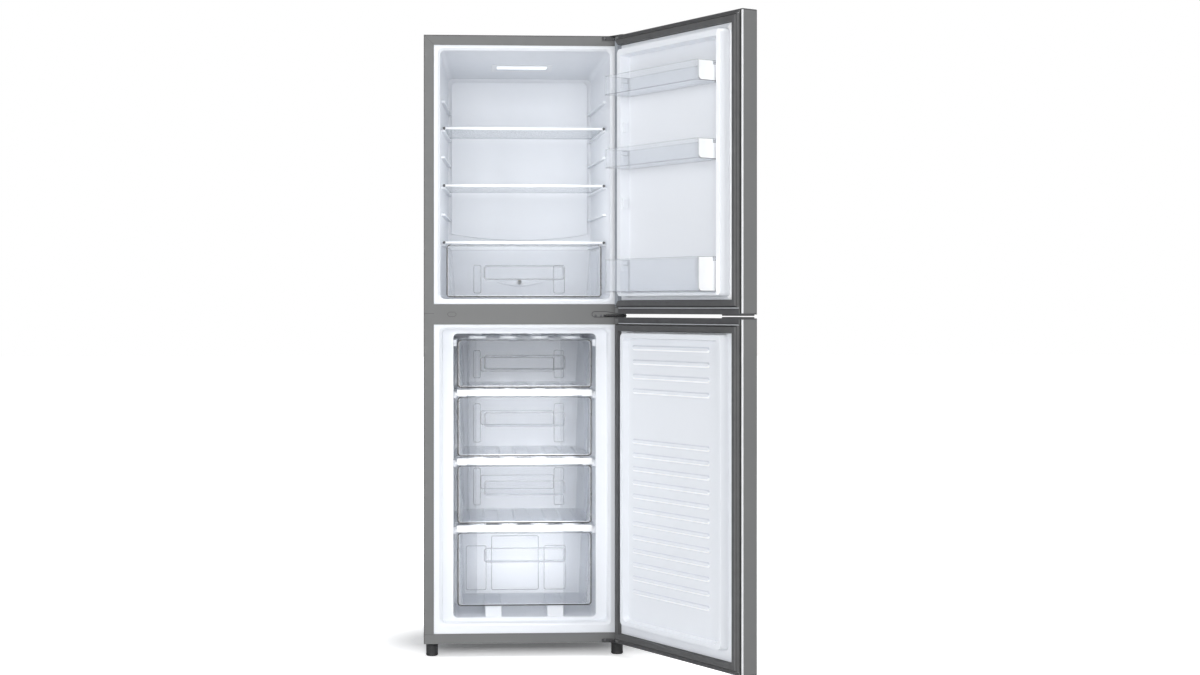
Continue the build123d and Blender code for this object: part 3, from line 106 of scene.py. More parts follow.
# ---------------------------------------------------------------- sizes and colours
class CabinetSettings(bpy.types.PropertyGroup):
    """Sizes of what is softened or added on the cabinet."""

    screw_radius: length("Screw radius", "Radius of a hinge screw's head", 3.2)
    screw_height: length("Screw height", "Height of a hinge screw's head", 1.6)
    liner_edge: length("Liner edge", "Rounding of the moulded liners' edges", 0.9)
    liner_wall: length("Liner wall", "Wall of the moulded liners", 1.2)
    steel_edge: length("Steel edge", "Rounding of hinge and bracket edges", 0.4)
    # The plate's dark outline is painted shade; past the painted length its front keeps the darker steel as
    # painted shade from the door.
    plate_outline: length("Plate outline", "Width of the dark outline of the middle hinge's plate", 1.5)
    painted_plate: length("Painted plate", "Painted length of the middle hinge", 62.0)
    # The lines across the side flanges are drawn dark; the same width serves the mitre seams.
    seam_width: length("Seam width", "Width of the seams across the side flanges", 0.7)
    # The cabinet's dark outer edge is painted shade.
    outer_edge: length("Outer edge", "Width of the dark edge round the cabinet's front", 2.0)
    foot_flute: length("Foot flute", "Depth of the flutes round a foot", 0.8)
    # The fold's rounding carries a painted highlight; the groove strip beside it is painted shade of the gap by
    # the gasket.
    fold: length("Fold", "Radius of the fold along a door's free side", 3.2)
    groove: length("Groove", "Width of the dark groove beside the fold", 6.8)
    # These parts of a gasket are painted lighter: painted highlights.
    gasket_lip: length("Gasket lip", "Width of the paler outer part of a gasket's free side", 8.5)
    gasket_side: length("Gasket side", "Width of a gasket's pale hinge side", 22.0)
    # The dike's free side and the bars' lower slopes carry a painted highlight; the bars' upper slopes painted
    # shade.
    dike_width: length("Dike width", "Width of the whitest part of the fridge door's dike", 52.0)
    bar_slope: length("Bar slope", "How far the bars on the freezer door slope in", 2.2)
    bar_rise: length("Bar rise", "How much further those bars stand out", 1.0)
    # A door's rounded outer corners carry painted shade.
    corner: length("Corner", "Radius of a door's outer corners", 1.4)
    tube_radius: length("Tube radius", "Radius of the evaporator tube", 4.0)
    wire_radius: length("Wire radius", "Radius of the wires under the evaporator tube", 1.0)


class ClearSettings(bpy.types.PropertyGroup):
    """Sizes of the clear drawers, bins and glass."""

    # The dark edge is painted shade; the bright line inside it is a painted highlight.
    outline: length("Outline", "Width of the dark edge round a drawer's front", 3.6)
    glint: length("Glint", "Width of the bright line inside the dark edge", 1.6)
    ridge_width: length("Ridge width", "Width of the ridges moulded in the rear walls", 1.5)
    ridge_height: length("Ridge height", "Height of the ridges moulded in the rear walls", 0.8)
    recess: length("Recess", "Height of the recess moulded in a freezer drawer's rear wall", 41.0)
    bar_height: length("Bar height", "Height of a freezer shelf's bar between its ends", 12.5)
    bar_end: length("Bar end", "Length of the taller end of a bar", 27.0)
    glass_edge_and_shade: length("Glass edge", "Width of the ground edge of a glass shelf", 2.6)


class StudioSettings(bpy.types.PropertyGroup):
    """Camera and light."""

    camera_place: FloatVectorProperty(
        name="Camera place", description="Where the camera stands", subtype="XYZ",
        default=(-0.191, -5.207, 0.948),
    )
    camera_turn: FloatProperty(
        name="Camera turn", description="How far the camera looks to the right", subtype="ANGLE",
        default=math.radians(3.02),
    )
    lens: FloatProperty(name="Lens", description="Focal length in mm", default=54.78)
    shift: FloatVectorProperty(
        name="Shift", description="Lens shift across and up", size=2, default=(0.0407, -0.025)
    )
    front_power: power("Front power", "Power of the wide front lamp", 145.0)
    key_power: power("Key power", "Power of the large left-hand lamp", 70.0)
    fill_power: power("Fill power", "Power of the right-hand lamp", 50.0)
    top_power: power("Top power", "Power of the overhead lamp", 95.0)
    rear_power: power("Rear power", "Power of the lamp behind", 80.0)
    fridge_power: power("Fridge power", "Power of the lamp in the upper mouth", 0.55)
    freezer_power: power("Freezer power", "Power of the lamp in the lower mouth", 1.3)
    fridge_lamp_drop: length("Fridge lamp drop", "How far the upper lamp sits below the middle", 70.0)
    world_strength: FloatProperty(name="World strength", description="Even light all round", default=0.26)
    floor_size: FloatProperty(name="Floor size", description="Side of the floor", default=60.0, unit="LENGTH")


# ---------------------------------------------------------------- materials
def add_node(tree, kind, **settings):
    """A new shader node with its settings."""
    made = tree.nodes.new(kind)
    for key, value in settings.items():
        setattr(made, key, value)
    return made


def ramp(tree, value, low, high, start, end):
    """A value between start and end remapped to low to high."""
    ranged = add_node(tree, "ShaderNodeMapRange")
    tree.links.new(value, ranged.inputs["Value"])
    for socket, limit in (("From Min", start), ("From Max", end), ("To Min", low), ("To Max", high)):
        ranged.inputs[socket].default_value = limit
    return ranged.outputs["Result"]


class Shader:
    """A principled material that is built up from noise, bumps and tints on Object coordinates."""

    def __init__(self, name, colour, roughness, metallic):
        self.material = bpy.data.materials.new(f"{name}_finish")
        self.material.use_nodes = True
        self.tree = self.material.node_tree
        self.surface = self.tree.nodes["Principled BSDF"].inputs
        self.surface["Base Color"].default_value = (*colour, 1.0)
        self.surface["Roughness"].default_value = roughness
        self.surface["Metallic"].default_value = metallic
        self.colour = colour
        self.place = add_node(self.tree, "ShaderNodeTexCoord").outputs["Object"]

    def noise(self, scale, detail=3.0, stretch=(1.0, 1.0, 1.0)):
        """Noise with features about 1/scale metres across."""
        mapping = add_node(self.tree, "ShaderNodeMapping")
        mapping.inputs["Scale"].default_value = stretch
        self.tree.links.new(self.place, mapping.inputs["Vector"])
        noise = add_node(self.tree, "ShaderNodeTexNoise")
        self.tree.links.new(mapping.outputs["Vector"], noise.inputs["Vector"])
        noise.inputs["Scale"].default_value = scale
        noise.inputs["Detail"].default_value = detail
        noise.inputs["Roughness"].default_value = 0.55
        return noise.outputs["Fac"]

    def drift(self, scale, low, high):
        """Noise remapped to low to high."""
        return ramp(self.tree, self.noise(scale), low, high, 0.3, 0.7)

    def tinted(self, scale, other):
        """Base colour that drifts between the main one and another."""
        mix = add_node(self.tree, "ShaderNodeMix", data_type="RGBA")
        mix.inputs["A"].default_value = (*self.colour, 1.0)
        mix.inputs["B"].default_value = (*other, 1.0)
        self.tree.links.new(self.drift(scale, 0.0, 1.0), mix.inputs["Factor"])
        self.tree.links.new(mix.outputs["Result"], self.surface["Base Color"])

    def varied_gloss(self, scale, low, high):
        """Roughness that drifts between two values."""
        self.tree.links.new(self.drift(scale, low, high), self.surface["Roughness"])

    def bumped(self, scale, depth, stretch=(1.0, 1.0, 1.0)):
        """A fine relief of the given depth in millimetres."""
        bump = add_node(self.tree, "ShaderNodeBump")
        bump.inputs["Strength"].default_value = 1.0
        bump.inputs["Distance"].default_value = depth * MM
        self.tree.links.new(self.noise(scale, 2.0, stretch), bump.inputs["Height"])
        self.tree.links.new(bump.outputs["Normal"], self.surface["Normal"])

    def see_through(self, facing, grazing):
        """Clear where it is looked through squarely, denser where it is looked along."""
        look = add_node(self.tree, "ShaderNodeLayerWeight")
        look.inputs["Blend"].default_value = 0.5
        density = ramp(self.tree, look.outputs["Facing"], facing, grazing, 0.1, 1.0)
        self.tree.links.new(density, self.surface["Alpha"])

    def glowing(self, colour, strength):
        """Light of its own."""
        self.surface["Emission Color"].default_value = (*colour, 1.0)
        self.surface["Emission Strength"].default_value = strength


FINISH = {}


def finish(name, colour, roughness, tint, gloss=None, relief=None, metallic=0.0, clear=None, glow=None):
    """Make one finish.

    tint is (scale, other colour), gloss (scale, low, high), relief (scale, depth in mm), clear (alpha looked
    through squarely, alpha looked along) and glow (colour, strength).
    """
    shader = Shader(name, colour, roughness, metallic)
    for step, values in (
        (shader.tinted, tint),
        (shader.varied_gloss, gloss),
        (shader.bumped, relief),
        (shader.see_through, clear),
        (shader.glowing, glow),
    ):
        if values:
            step(*values)
    FINISH[name] = shader.material


def make_paints():
    """Paint, sheet metal and moulded white, and the painted highlights and painted shade on folds, edges, the dike
    and the bars.
    """
    finish(
        "grey_paint", (0.168, 0.169, 0.167), 0.42, (3, (0.155, 0.157, 0.156)), (40, 0.38, 0.5), (900, 0.02),
    )
    finish(
        "zinc_sheet", (0.52, 0.53, 0.54), 0.4, (60, (0.4, 0.41, 0.43)), (90, 0.3, 0.55), (300, 0.04),
        metallic=0.85,
    )
    # Painted highlight along a door's steel fold.
    finish("fold_highlight", (0.93, 0.93, 0.94), 0.3, (40, (0.88, 0.89, 0.9)), (60, 0.25, 0.36))
    # Dark seams and lines on the flanges, and painted shade in the gap beside a door's fold and round the middle
    # hinge's plate.
    finish("seam_and_shade_dark", (0.03, 0.03, 0.03), 0.7, (90, (0.05, 0.05, 0.05)), relief=(900, 0.02))
    finish(
        "liner_white", (0.845, 0.865, 0.9), 0.36, (2, (0.835, 0.855, 0.893)), (25, 0.32, 0.42), (260, 0.008),
    )
    finish(
        "moulded_white", (0.875, 0.885, 0.9), 0.34, (6, (0.862, 0.873, 0.89)), (60, 0.3, 0.42), (500, 0.008),
    )
    finish(
        "hinge_steel", (0.06, 0.06, 0.061), 0.38, (200, (0.045, 0.045, 0.047)), (400, 0.32, 0.46),
        (700, 0.02), metallic=0.3,
    )
    # Painted shade on the cabinet's outer edges, the doors' outer corners and round the mullion plug.
    finish("edge_shade_grey", (0.065, 0.065, 0.065), 0.4, (40, (0.055, 0.055, 0.056)), (60, 0.35, 0.48))
    # Painted highlight with a faint glow, for the dike's free side and the bars' lower slopes.
    finish(
        "dike_highlight_white", (0.94, 0.95, 0.96), 0.34, (4, (0.93, 0.94, 0.955)), (25, 0.3, 0.4),
        glow=((0.97, 0.98, 1.0), 0.1),
    )
    # Painted shade, for the bars' upper slopes.
    finish("shade_white", (0.68, 0.7, 0.76), 0.36, (20, (0.72, 0.74, 0.79)), (25, 0.32, 0.42))
    finish(
        "screw_steel", (0.16, 0.16, 0.165), 0.3, (400, (0.11, 0.11, 0.115)), (500, 0.22, 0.38), metallic=0.8,
    )


def make_rubbers():
    """Gaskets, caps and the dark plastics and rubbers."""
    # The first two are lit copies of the gasket's grey: painted highlights.
    finish("gasket_side_highlight", (0.3, 0.32, 0.35), 0.5, (30, (0.27, 0.29, 0.32)), (80, 0.45, 0.6))
    finish(
        "gasket_lip_highlight", (0.135, 0.135, 0.136), 0.5, (30, (0.12, 0.12, 0.122)), (80, 0.45, 0.6), (1200, 0.02),
    )
    finish(
        "gasket_grey", (0.094, 0.094, 0.094), 0.55, (30, (0.082, 0.082, 0.083)), (80, 0.48, 0.62),
        (1200, 0.02),
    )
    finish(
        "cap_grey", (0.085, 0.085, 0.087), 0.5, (20, (0.072, 0.072, 0.075)), (60, 0.42, 0.58), (1500, 0.03),
    )
    finish(
        "black_plastic", (0.018, 0.018, 0.019), 0.45, (50, (0.028, 0.028, 0.03)), (90, 0.38, 0.55),
        (1100, 0.04),
    )
    finish(
        "black_rubber", (0.02, 0.02, 0.02), 0.75, (60, (0.032, 0.031, 0.03)), (120, 0.65, 0.85), (900, 0.05),
    )
    finish(
        "black_enamel", (0.012, 0.012, 0.013), 0.28, (30, (0.02, 0.02, 0.022)), (50, 0.22, 0.4), (350, 0.05),
    )
    finish("foam_cream", (0.8, 0.7, 0.45), 0.9, (50, (0.7, 0.6, 0.36)), relief=(500, 0.5))


def make_clears():
    """Clear plastic with its painted shade, painted edge shade and painted glint, shelf glass with its edges and
    the lamp's diffuser.
    """
    for row in (
        ("clear_plastic", (0.72, 0.76, 0.83), 0.12, (14, (0.76, 0.8, 0.86)), (30, 0.08, 0.16), (0.035, 0.33)),
        # Painted shade: a darker, denser copy of the clear plastic for the freezer drawers' walls.
        ("shaded_plastic", (0.4, 0.44, 0.51), 0.16, (9, (0.46, 0.5, 0.57)), (30, 0.12, 0.2), (0.14, 0.5)),
        # Softer painted shade on rounded edges and ridges of the clear plastic.
        ("clear_edge_shade", (0.13, 0.135, 0.15), 0.2, (60, (0.18, 0.185, 0.2)), (60, 0.14, 0.26), (0.5, 0.75)),
        # Painted glint inside a drawer's dark edge.
        ("glint_highlight", (0.9, 0.92, 0.95), 0.15, (60, (0.84, 0.86, 0.9)), (60, 0.1, 0.2), (0.55, 0.8)),
        # Painted shade: the dark edge round a drawer's front.
        ("dark_edge_shade", (0.02, 0.017, 0.014), 0.25, (45, (0.035, 0.03, 0.026)), (60, 0.18, 0.32), (0.93, 0.97)),
        ("shelf_glass", (0.5, 0.56, 0.6), 0.03, (5, (0.53, 0.59, 0.63)), (8, 0.02, 0.05), (0.1, 0.34)),
        # Dark ground edge of the glass shelves, and painted shade on the bins' foot edges and end plates.
        ("glass_edge_and_shade", (0.04, 0.036, 0.032), 0.3, (70, (0.07, 0.065, 0.06)), (80, 0.24, 0.38), (0.8, 0.95)),
        ("rear_edge", (0.45, 0.48, 0.53), 0.3, (70, (0.5, 0.53, 0.58)), None, (0.5, 0.7)),
    ):
        finish(*row[:5], clear=row[5])
    finish(
        "lamp_diffuser", (0.9, 0.93, 0.97), 0.35, (8, (0.86, 0.9, 0.96)), relief=(260, 0.1, (1.0, 6.0, 1.0)),
        glow=((0.93, 0.96, 1.0), 0.75),
    )


def make_metals():
    """Bare metals and the lamp's board."""
    finish("coil_white", (0.74, 0.77, 0.8), 0.4, (40, (0.8, 0.82, 0.85)), (90, 0.32, 0.5), (500, 0.03))
    finish(
        "mill_aluminium", (0.75, 0.76, 0.78), 0.35, (80, (0.66, 0.67, 0.69)), (120, 0.28, 0.45), metallic=1.0,
    )
    finish("copper_tube", (0.62, 0.27, 0.14), 0.32, (120, (0.4, 0.17, 0.1)), (200, 0.25, 0.5), metallic=1.0)
    finish("board_green", (0.03, 0.12, 0.05), 0.4, (90, (0.1, 0.2, 0.08)), relief=(300, 0.2))


SLOT_FINISH = {
    "cabinet_paint": "grey_paint",
    "zinc_sheet": "zinc_sheet",
    "back_paint": "grey_paint",
    "liner_white": "liner_white",
    "white_plastic": "moulded_white",
    "foam": "foam_cream",
    "gasket_grey": "gasket_grey",
    "cap_grey": "cap_grey",
    "clear_plastic": "clear_plastic",
    "glass": "shelf_glass",
    "diffuser": "lamp_diffuser",
    "board_green": "board_green",
    "coil_white": "coil_white",
    "aluminium": "mill_aluminium",
    "compressor_black": "black_enamel",
    "black_plastic": "black_plastic",
    "black_rubber": "black_rubber",
    "copper": "copper_tube",
    "hinge_steel": "hinge_steel",
}


# ---------------------------------------------------------------- helpers
def copied(*nodes, shut=False):
    """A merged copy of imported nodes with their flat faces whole; a door's piece may be turned shut."""
    mesh = bmesh.new()
    for name in nodes:
        mesh.from_mesh(frame["nodes"][name].data)
    bmesh.ops.remove_doubles(mesh, verts=mesh.verts, dist=2e-6)
    if shut:
        bmesh.ops.transform(mesh, matrix=OPEN_TURN.inverted(), verts=mesh.verts)
    bmesh.ops.dissolve_limit(
        mesh, angle_limit=math.radians(0.4), use_dissolve_boundaries=False, verts=mesh.verts, edges=mesh.edges
    )
    return mesh


def soften(mesh, width, segments=2, least=30.0):
    """Round a mesh's sharp edges, and give back the faces of the rounding."""
    bmesh.ops.triangulate(mesh, faces=[face for face in mesh.faces if len(face.verts) > 4])
    sharp = [
        edge
        for edge in mesh.edges
        if len(edge.link_faces) == 2 and edge.calc_face_angle(0.0) > math.radians(least)
    ]
    rounding = bmesh.ops.bevel(
        mesh, geom=sharp, offset=width, offset_type="OFFSET", segments=segments, profile=0.5,
        affect="EDGES", clamp_overlap=False, material=-1, loop_slide=False,
    )
    return [face for face in rounding["faces"] if face.is_valid]


def shown_skin(mesh, outward):
    """Keep the faces of a moulded sheet that show from its open side."""
    tree = BVHTree.FromBMesh(mesh)
    hidden = []
    for face in mesh.faces:
        start = face.calc_center_median_weighted() + face.normal * 0.1 * MM
        behind = face.normal.dot(outward) < -0.003
        covered = tree.ray_cast(start, outward)[0] is not None
        open_room = tree.ray_cast(start, face.normal)[0] is not None
        if behind or (covered and not open_room):
            hidden.append(face)
    bmesh.ops.delete(mesh, geom=hidden, context="FACES")
    return mesh


def finish_piece(name, mesh, finishes, body, slot, stands_for=(), sharp=24.0, wall=None):
    """Turn a mesh built in place into a named piece that rides on a body."""
    data = bpy.data.meshes.new(name)
    mesh.to_mesh(data)
    mesh.free()
    if "custom_normal" in data.attributes:
        data.attributes.remove(data.attributes["custom_normal"])
    data.shade_smooth()
    data.set_sharp_from_angle(angle=math.radians(sharp))
    for kind in finishes:
        data.materials.append(FINISH[kind])
    piece = bpy.data.objects.new(name, data)
    bpy.context.scene.collection.objects.link(piece)
    if wall:
        solid = piece.modifiers.new("wall", "SOLIDIFY")
        solid.thickness = wall
        solid.offset = -1.0
    even = piece.modifiers.new("even_shading", "WEIGHTED_NORMAL")
    even.keep_sharp = True
    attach(piece, body)
    if stands_for:
        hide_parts(*stands_for)


def node_shape(node, mesh, finishes=None, **options):
    """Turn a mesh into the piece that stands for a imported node."""
    slot = SLOT_OF[node]
    finishes = finishes or [SLOT_FINISH[slot]]
    finish_piece(f"{node}_shape", mesh, finishes, BODY_OF[node], slot, [node], **options)


def softened_piece(node, width, least=30.0):
    """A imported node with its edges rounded, in its own finish, in the node's place."""
    mesh = copied(node)
    soften(mesh, width, 2, least)
    node_shape(node, mesh)


def cut_across(mesh, x):
    """Split the faces along an upright plane across the part."""
    bmesh.ops.bisect_plane(
        mesh, geom=[*mesh.verts, *mesh.edges, *mesh.faces], plane_co=(x, 0, 0), plane_no=(1, 0, 0)
    )


def open_door(mesh):
    """Turn a mesh built with the doors shut to where the doors stand open."""
    bmesh.ops.transform(mesh, matrix=OPEN_TURN, verts=mesh.verts)


def closed_up(mesh):
    """Merge a new mesh's doubles and turn its faces outwards."""
    bmesh.ops.remove_doubles(mesh, verts=mesh.verts, dist=1e-6)
    bmesh.ops.recalc_face_normals(mesh, faces=mesh.faces)
    return mesh


def lathe(mesh, profile, place, axis=(0.0, 0.0, 1.0), steps=32):
    """Spin a profile of (radius, height), both in mm, about an axis through place."""
    start = [mesh.verts.new((radius * MM, 0.0, height * MM)) for radius, height in profile]
    edges = [mesh.edges.new(pair) for pair in zip(start, start[1:])]
    bmesh.ops.spin(
        mesh, geom=start + edges, cent=(0, 0, 0), axis=(0, 0, 1), dvec=(0, 0, 0),
        angle=math.tau, steps=steps, use_merge=True,
    )
    turn = Vector((0, 0, 1)).rotation_difference(Vector(axis)).to_matrix().to_4x4()
    around = connected(start[0])
    bmesh.ops.transform(mesh, matrix=Matrix.Translation(place) @ turn, verts=list(around))
    return around


def connected(vert):
    """Every vertex joined to this one."""
    seen, waiting = {vert}, [vert]
    while waiting:
        for edge in waiting.pop().link_edges:
            for other in edge.verts:
                if other not in seen:
                    seen.add(other)
                    waiting.append(other)
    return seen


def bar(mesh, low, high, edge=0.0):
    """A block between two corners, its edges rounded."""
    made = bmesh.ops.create_cube(mesh, size=1.0)["verts"]
    size = Vector(high) - Vector(low)
    middle = (Vector(high) + Vector(low)) / 2
    place = Matrix.Translation(middle) @ Matrix.Diagonal((*size, 1.0))
    bmesh.ops.transform(mesh, matrix=place, verts=made)
    if edge:
        edges = list({e for v in made for e in v.link_edges})
        bmesh.ops.bevel(
            mesh, geom=edges, offset=edge, offset_type="OFFSET", segments=2, profile=0.5, affect="EDGES",
            clamp_overlap=True, material=-1,
        )


def ridge_ring(mesh, place, across, up, size, corner, width, height, index=0):
    """A thin moulded ridge round a rounded rectangle; it stands up along across x up."""
    ring = bmesh.new()
    bmesh.ops.create_grid(ring, x_segments=1, y_segments=1, size=0.5)
    bmesh.ops.transform(ring, matrix=Matrix.Diagonal((size[0], size[1], 1.0, 1.0)), verts=ring.verts)
    bmesh.ops.bevel(
        ring, geom=ring.verts, offset=corner, offset_type="OFFSET", segments=4, profile=0.5,
        affect="VERTICES", clamp_overlap=False, material=-1,
    )
    rim = bmesh.ops.inset_region(
        ring, faces=ring.faces, thickness=width, use_boundary=True, use_even_offset=True
    )
    inner = [face for face in ring.faces if face not in set(rim["faces"])]
    bmesh.ops.delete(ring, geom=inner, context="FACES_ONLY")
    raised = bmesh.ops.extrude_face_region(ring, geom=ring.faces)["geom"]
    raised = [item for item in raised if isinstance(item, bmesh.types.BMVert)]
    bmesh.ops.translate(ring, vec=(0, 0, height), verts=raised)
    bmesh.ops.recalc_face_normals(ring, faces=ring.faces)
    for face in ring.faces:
        face.material_index = index
    across, up = Vector(across), Vector(up)
    turn = Matrix((across, up, across.cross(up))).transposed().to_4x4()
    bmesh.ops.transform(ring, matrix=Matrix.Translation(place) @ turn, verts=ring.verts)
    join(mesh, ring)


def join(mesh, other):
    """Add another mesh to this one."""
    carrier = bpy.data.meshes.new("carrier")
    other.to_mesh(carrier)
    other.free()
    mesh.from_mesh(carrier)
    bpy.data.meshes.remove(carrier)


def tube(mesh, points, radius):
    """A round tube along points, added to the mesh."""
    data = bpy.data.curves.new("tube", "CURVE")
    data.dimensions = "3D"
    data.bevel_depth = radius
    data.bevel_resolution = 2
    data.use_fill_caps = True
    spline = data.splines.new("POLY")
    spline.points.add(len(points) - 1)
    for target, point in zip(spline.points, points):
        target.co = (*point, 1.0)
    holder = bpy.data.objects.new("tube", data)
    made = bpy.data.meshes.new_from_object(holder)
    mesh.from_mesh(made)
    bpy.data.objects.remove(holder)
    bpy.data.meshes.remove(made)
    bpy.data.curves.remove(data)


def rounded_route(corners, radius, steps=5):
    """Points along straight runs whose corners are turned by arcs."""
    corners = [Vector(corner) for corner in corners]
    route = [corners[0]]
    for before, corner, after in zip(corners, corners[1:], corners[2:]):
        into = (before - corner).normalized()
        out = (after - corner).normalized()
        half = into.angle(out) / 2
        reach = min(radius / math.tan(half), (before - corner).length * 0.48, (after - corner).length * 0.48)
        start, end = corner + into * reach, corner + out * reach
        for step in range(steps + 1):
            share = step / steps
            route.append(start.lerp(corner, share).lerp(corner.lerp(end, share), share))
    return route + [corners[-1]]


# ---------------------------------------------------------------- operators
class FRIDGE_OT_finishes(bpy.types.Operator):
    """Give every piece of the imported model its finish"""

    bl_idname = "fridge.finishes"
    bl_label = "Finishes"

    def execute(self, context):
        for make in (make_paints, make_rubbers, make_clears, make_metals):
            make()
        for name, node in frame["nodes"].items():
            material = FINISH[SLOT_FINISH[SLOT_OF[name]]]
            for place in node.material_slots:
                place.material = material
        return {"FINISHED"}


class FRIDGE_OT_liners(bpy.types.Operator):
    """Moulded inner boxes with soft edges"""

    bl_idname = "fridge.liners"
    bl_label = "Liners"

    def execute(self, context):
        settings = context.scene.fridge_cabinet
        for node in ("fridge_liner", "freezer_liner"):
            mesh = shown_skin(copied(node), Vector((0, -1, 0)))
            soften(mesh, settings.liner_edge, 2, 28.0)
            node_shape(node, mesh, wall=settings.liner_wall)
        return {"FINISHED"}


class FRIDGE_OT_lamp(bpy.types.Operator):
    """Ceiling lamp: frame and ribbed diffuser"""

    bl_idname = "fridge.lamp"
    bl_label = "Lamp"

    def execute(self, context):
        softened_piece("lamp_bezel", 0.6 * MM)
        low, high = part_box("lamp_lens")
        mesh = copied("lamp_lens")
        soften(mesh, 0.6 * MM)
        lit = low.lerp(high, 0.6).y
        bmesh.ops.bisect_plane(
            mesh, geom=[*mesh.verts, *mesh.edges, *mesh.faces], plane_co=(0, lit, 0), plane_no=(0, 1, 0)
        )
        for face in mesh.faces:
            face.material_index = int(face.calc_center_median().y > lit)
        node_shape("lamp_lens", mesh, ["lamp_diffuser", "liner_white"])
        return {"FINISHED"}


class FRIDGE_OT_doors(bpy.types.Operator):
    """Door liners, gaskets, caps and the fold along the free side, with painted highlights and painted shade"""

    bl_idname = "fridge.doors"
    bl_label = "Doors"

    def execute(self, context):
        settings = context.scene.fridge_cabinet
        for door in DOORS:
            self.make_liner(door, settings)
            self.make_gasket(door, settings)
            self.make_skin(door, settings)
            for cap in ("top_cap", "bottom_cap"):
                softened_piece(f"{door}_{cap}", 0.5 * MM)
        return {"FINISHED"}

    def make_liner(self, door, settings):
        """The moulded inner panel; the free side of its dike and the bars' lower slopes carry a painted highlight
        with a faint glow, and the bars' upper slopes painted shade.
        """
        mesh = shown_skin(copied(f"{door}_liner", shut=True), Vector((0, 1, 0)))
        bars = self.slope_bars(mesh, settings)
        soften(mesh, settings.liner_edge, 2, 28.0)
        # Painted highlight with a faint glow on the free side of the fridge door's dike.
        dike = min(v.co.x for v in mesh.verts) + settings.dike_width
        for face in mesh.faces:
            middle = face.calc_center_median()
            face.material_index = int(door == "fridge_door" and middle.x < dike and face.normal.y > 0.5)
        for left, right, foot, head, level in bars:
            for face in mesh.faces:
                middle = face.calc_center_median()
                beside = left < middle.x < right and foot < middle.z < head
                if not beside or abs(middle.y - level) > 4 * MM:
                    continue
                # Painted shade on the slopes facing up, painted highlight on those facing down and on one end.
                if face.normal.z > 0.3:
                    face.material_index = 2
                elif face.normal.z < -0.3 or face.normal.x > 0.3:
                    face.material_index = 1
        open_door(mesh)
        finishes = ["liner_white", "dike_highlight_white", "shade_white"]
        node_shape(f"{door}_liner", mesh, finishes, wall=settings.liner_wall)

    @staticmethod
    def slope_bars(mesh, settings):
        """Draw in and raise the tops of the long bars, so that their sides slope; gives their bounds."""
        bars = []
        for face in mesh.faces:
            across = [v.co.x for v in face.verts]
            up = [v.co.z for v in face.verts]
            wide, tall = max(across) - min(across), max(up) - min(up)
            if face.normal.y > 0.99 and wide > 0.1 and 0.008 < tall < 0.02:
                x, z = (max(across) + min(across)) / 2, (max(up) + min(up)) / 2
                level = face.calc_center_median().y
                bars.append((min(across) - MM, max(across) + MM, min(up) - MM, max(up) + MM, level))
                for vert in face.verts:
                    vert.co.x = x + (vert.co.x - x) * (1 - 2 * settings.bar_slope / wide)
                    vert.co.z = z + (vert.co.z - z) * (1 - 2 * settings.bar_slope / tall)
                    vert.co.y += settings.bar_rise
        return bars

    def make_gasket(self, door, settings):
        """The gasket, with a painted highlight along its free edge and, in the fridge, along its hinge side."""
        mesh = copied(f"{door}_gasket", shut=True)
        soften(mesh, 0.9 * MM, 3)
        hinge_side = max(v.co.x for v in mesh.verts) - settings.gasket_side
        lip = min(v.co.x for v in mesh.verts) + settings.gasket_lip
        cut_across(mesh, lip)
        # Painted highlights on the fridge gasket's hinge side and on each gasket's free lip.
        for face in mesh.faces:
            middle = face.calc_center_median()
            face.material_index = int(door == "fridge_door" and middle.x > hinge_side)
            if middle.x < lip:
                face.material_index = 2
        open_door(mesh)
        node_shape(f"{door}_gasket", mesh, ["gasket_grey", "gasket_side_highlight", "gasket_lip_highlight"])

    def make_skin(self, door, settings):
        """The steel: a painted highlight on the fold along the free side, painted shade on the strip beside it
        where the gap by the gasket falls dark, and painted shade on the rounded outer corners.
        """
        mesh = copied(f"{door}_skin", shut=True)
        low = Vector([min(v.co[i] for v in mesh.verts) for i in range(3)])
        high = Vector([max(v.co[i] for v in mesh.verts) for i in range(3)])
        groove = low.x + settings.fold + settings.groove
        cut_across(mesh, groove)
        # Painted shade: the strip of the inner face beside the fold, where the gap by the gasket falls dark.
        for face in mesh.faces:
            middle = face.calc_center_median()
            if middle.x < groove and face.normal.y > 0.9 and middle.y > high.y - MM:
                face.material_index = 1
        # Painted highlight on the fold, painted shade on the outer corners.
        for place, width, index in (
            ((low.x, high.y), settings.fold, 2),
            ((low.x, low.y), settings.corner, 3),
            ((high.x, low.y), settings.corner, 3),
        ):
            corner = [
                edge for edge in mesh.edges
                if all((v.co.xy - Vector(place)).length < 0.05 * MM for v in edge.verts)
            ]
            rounding = bmesh.ops.bevel(
                mesh, geom=corner, offset=width, offset_type="OFFSET", segments=4, profile=0.5,
                affect="EDGES", clamp_overlap=False, material=-1,
            )
            for face in rounding["faces"]:
                face.material_index = index
        open_door(mesh)
        node_shape(f"{door}_skin", mesh, ["grey_paint", "seam_and_shade_dark", "fold_highlight", "edge_shade_grey"])


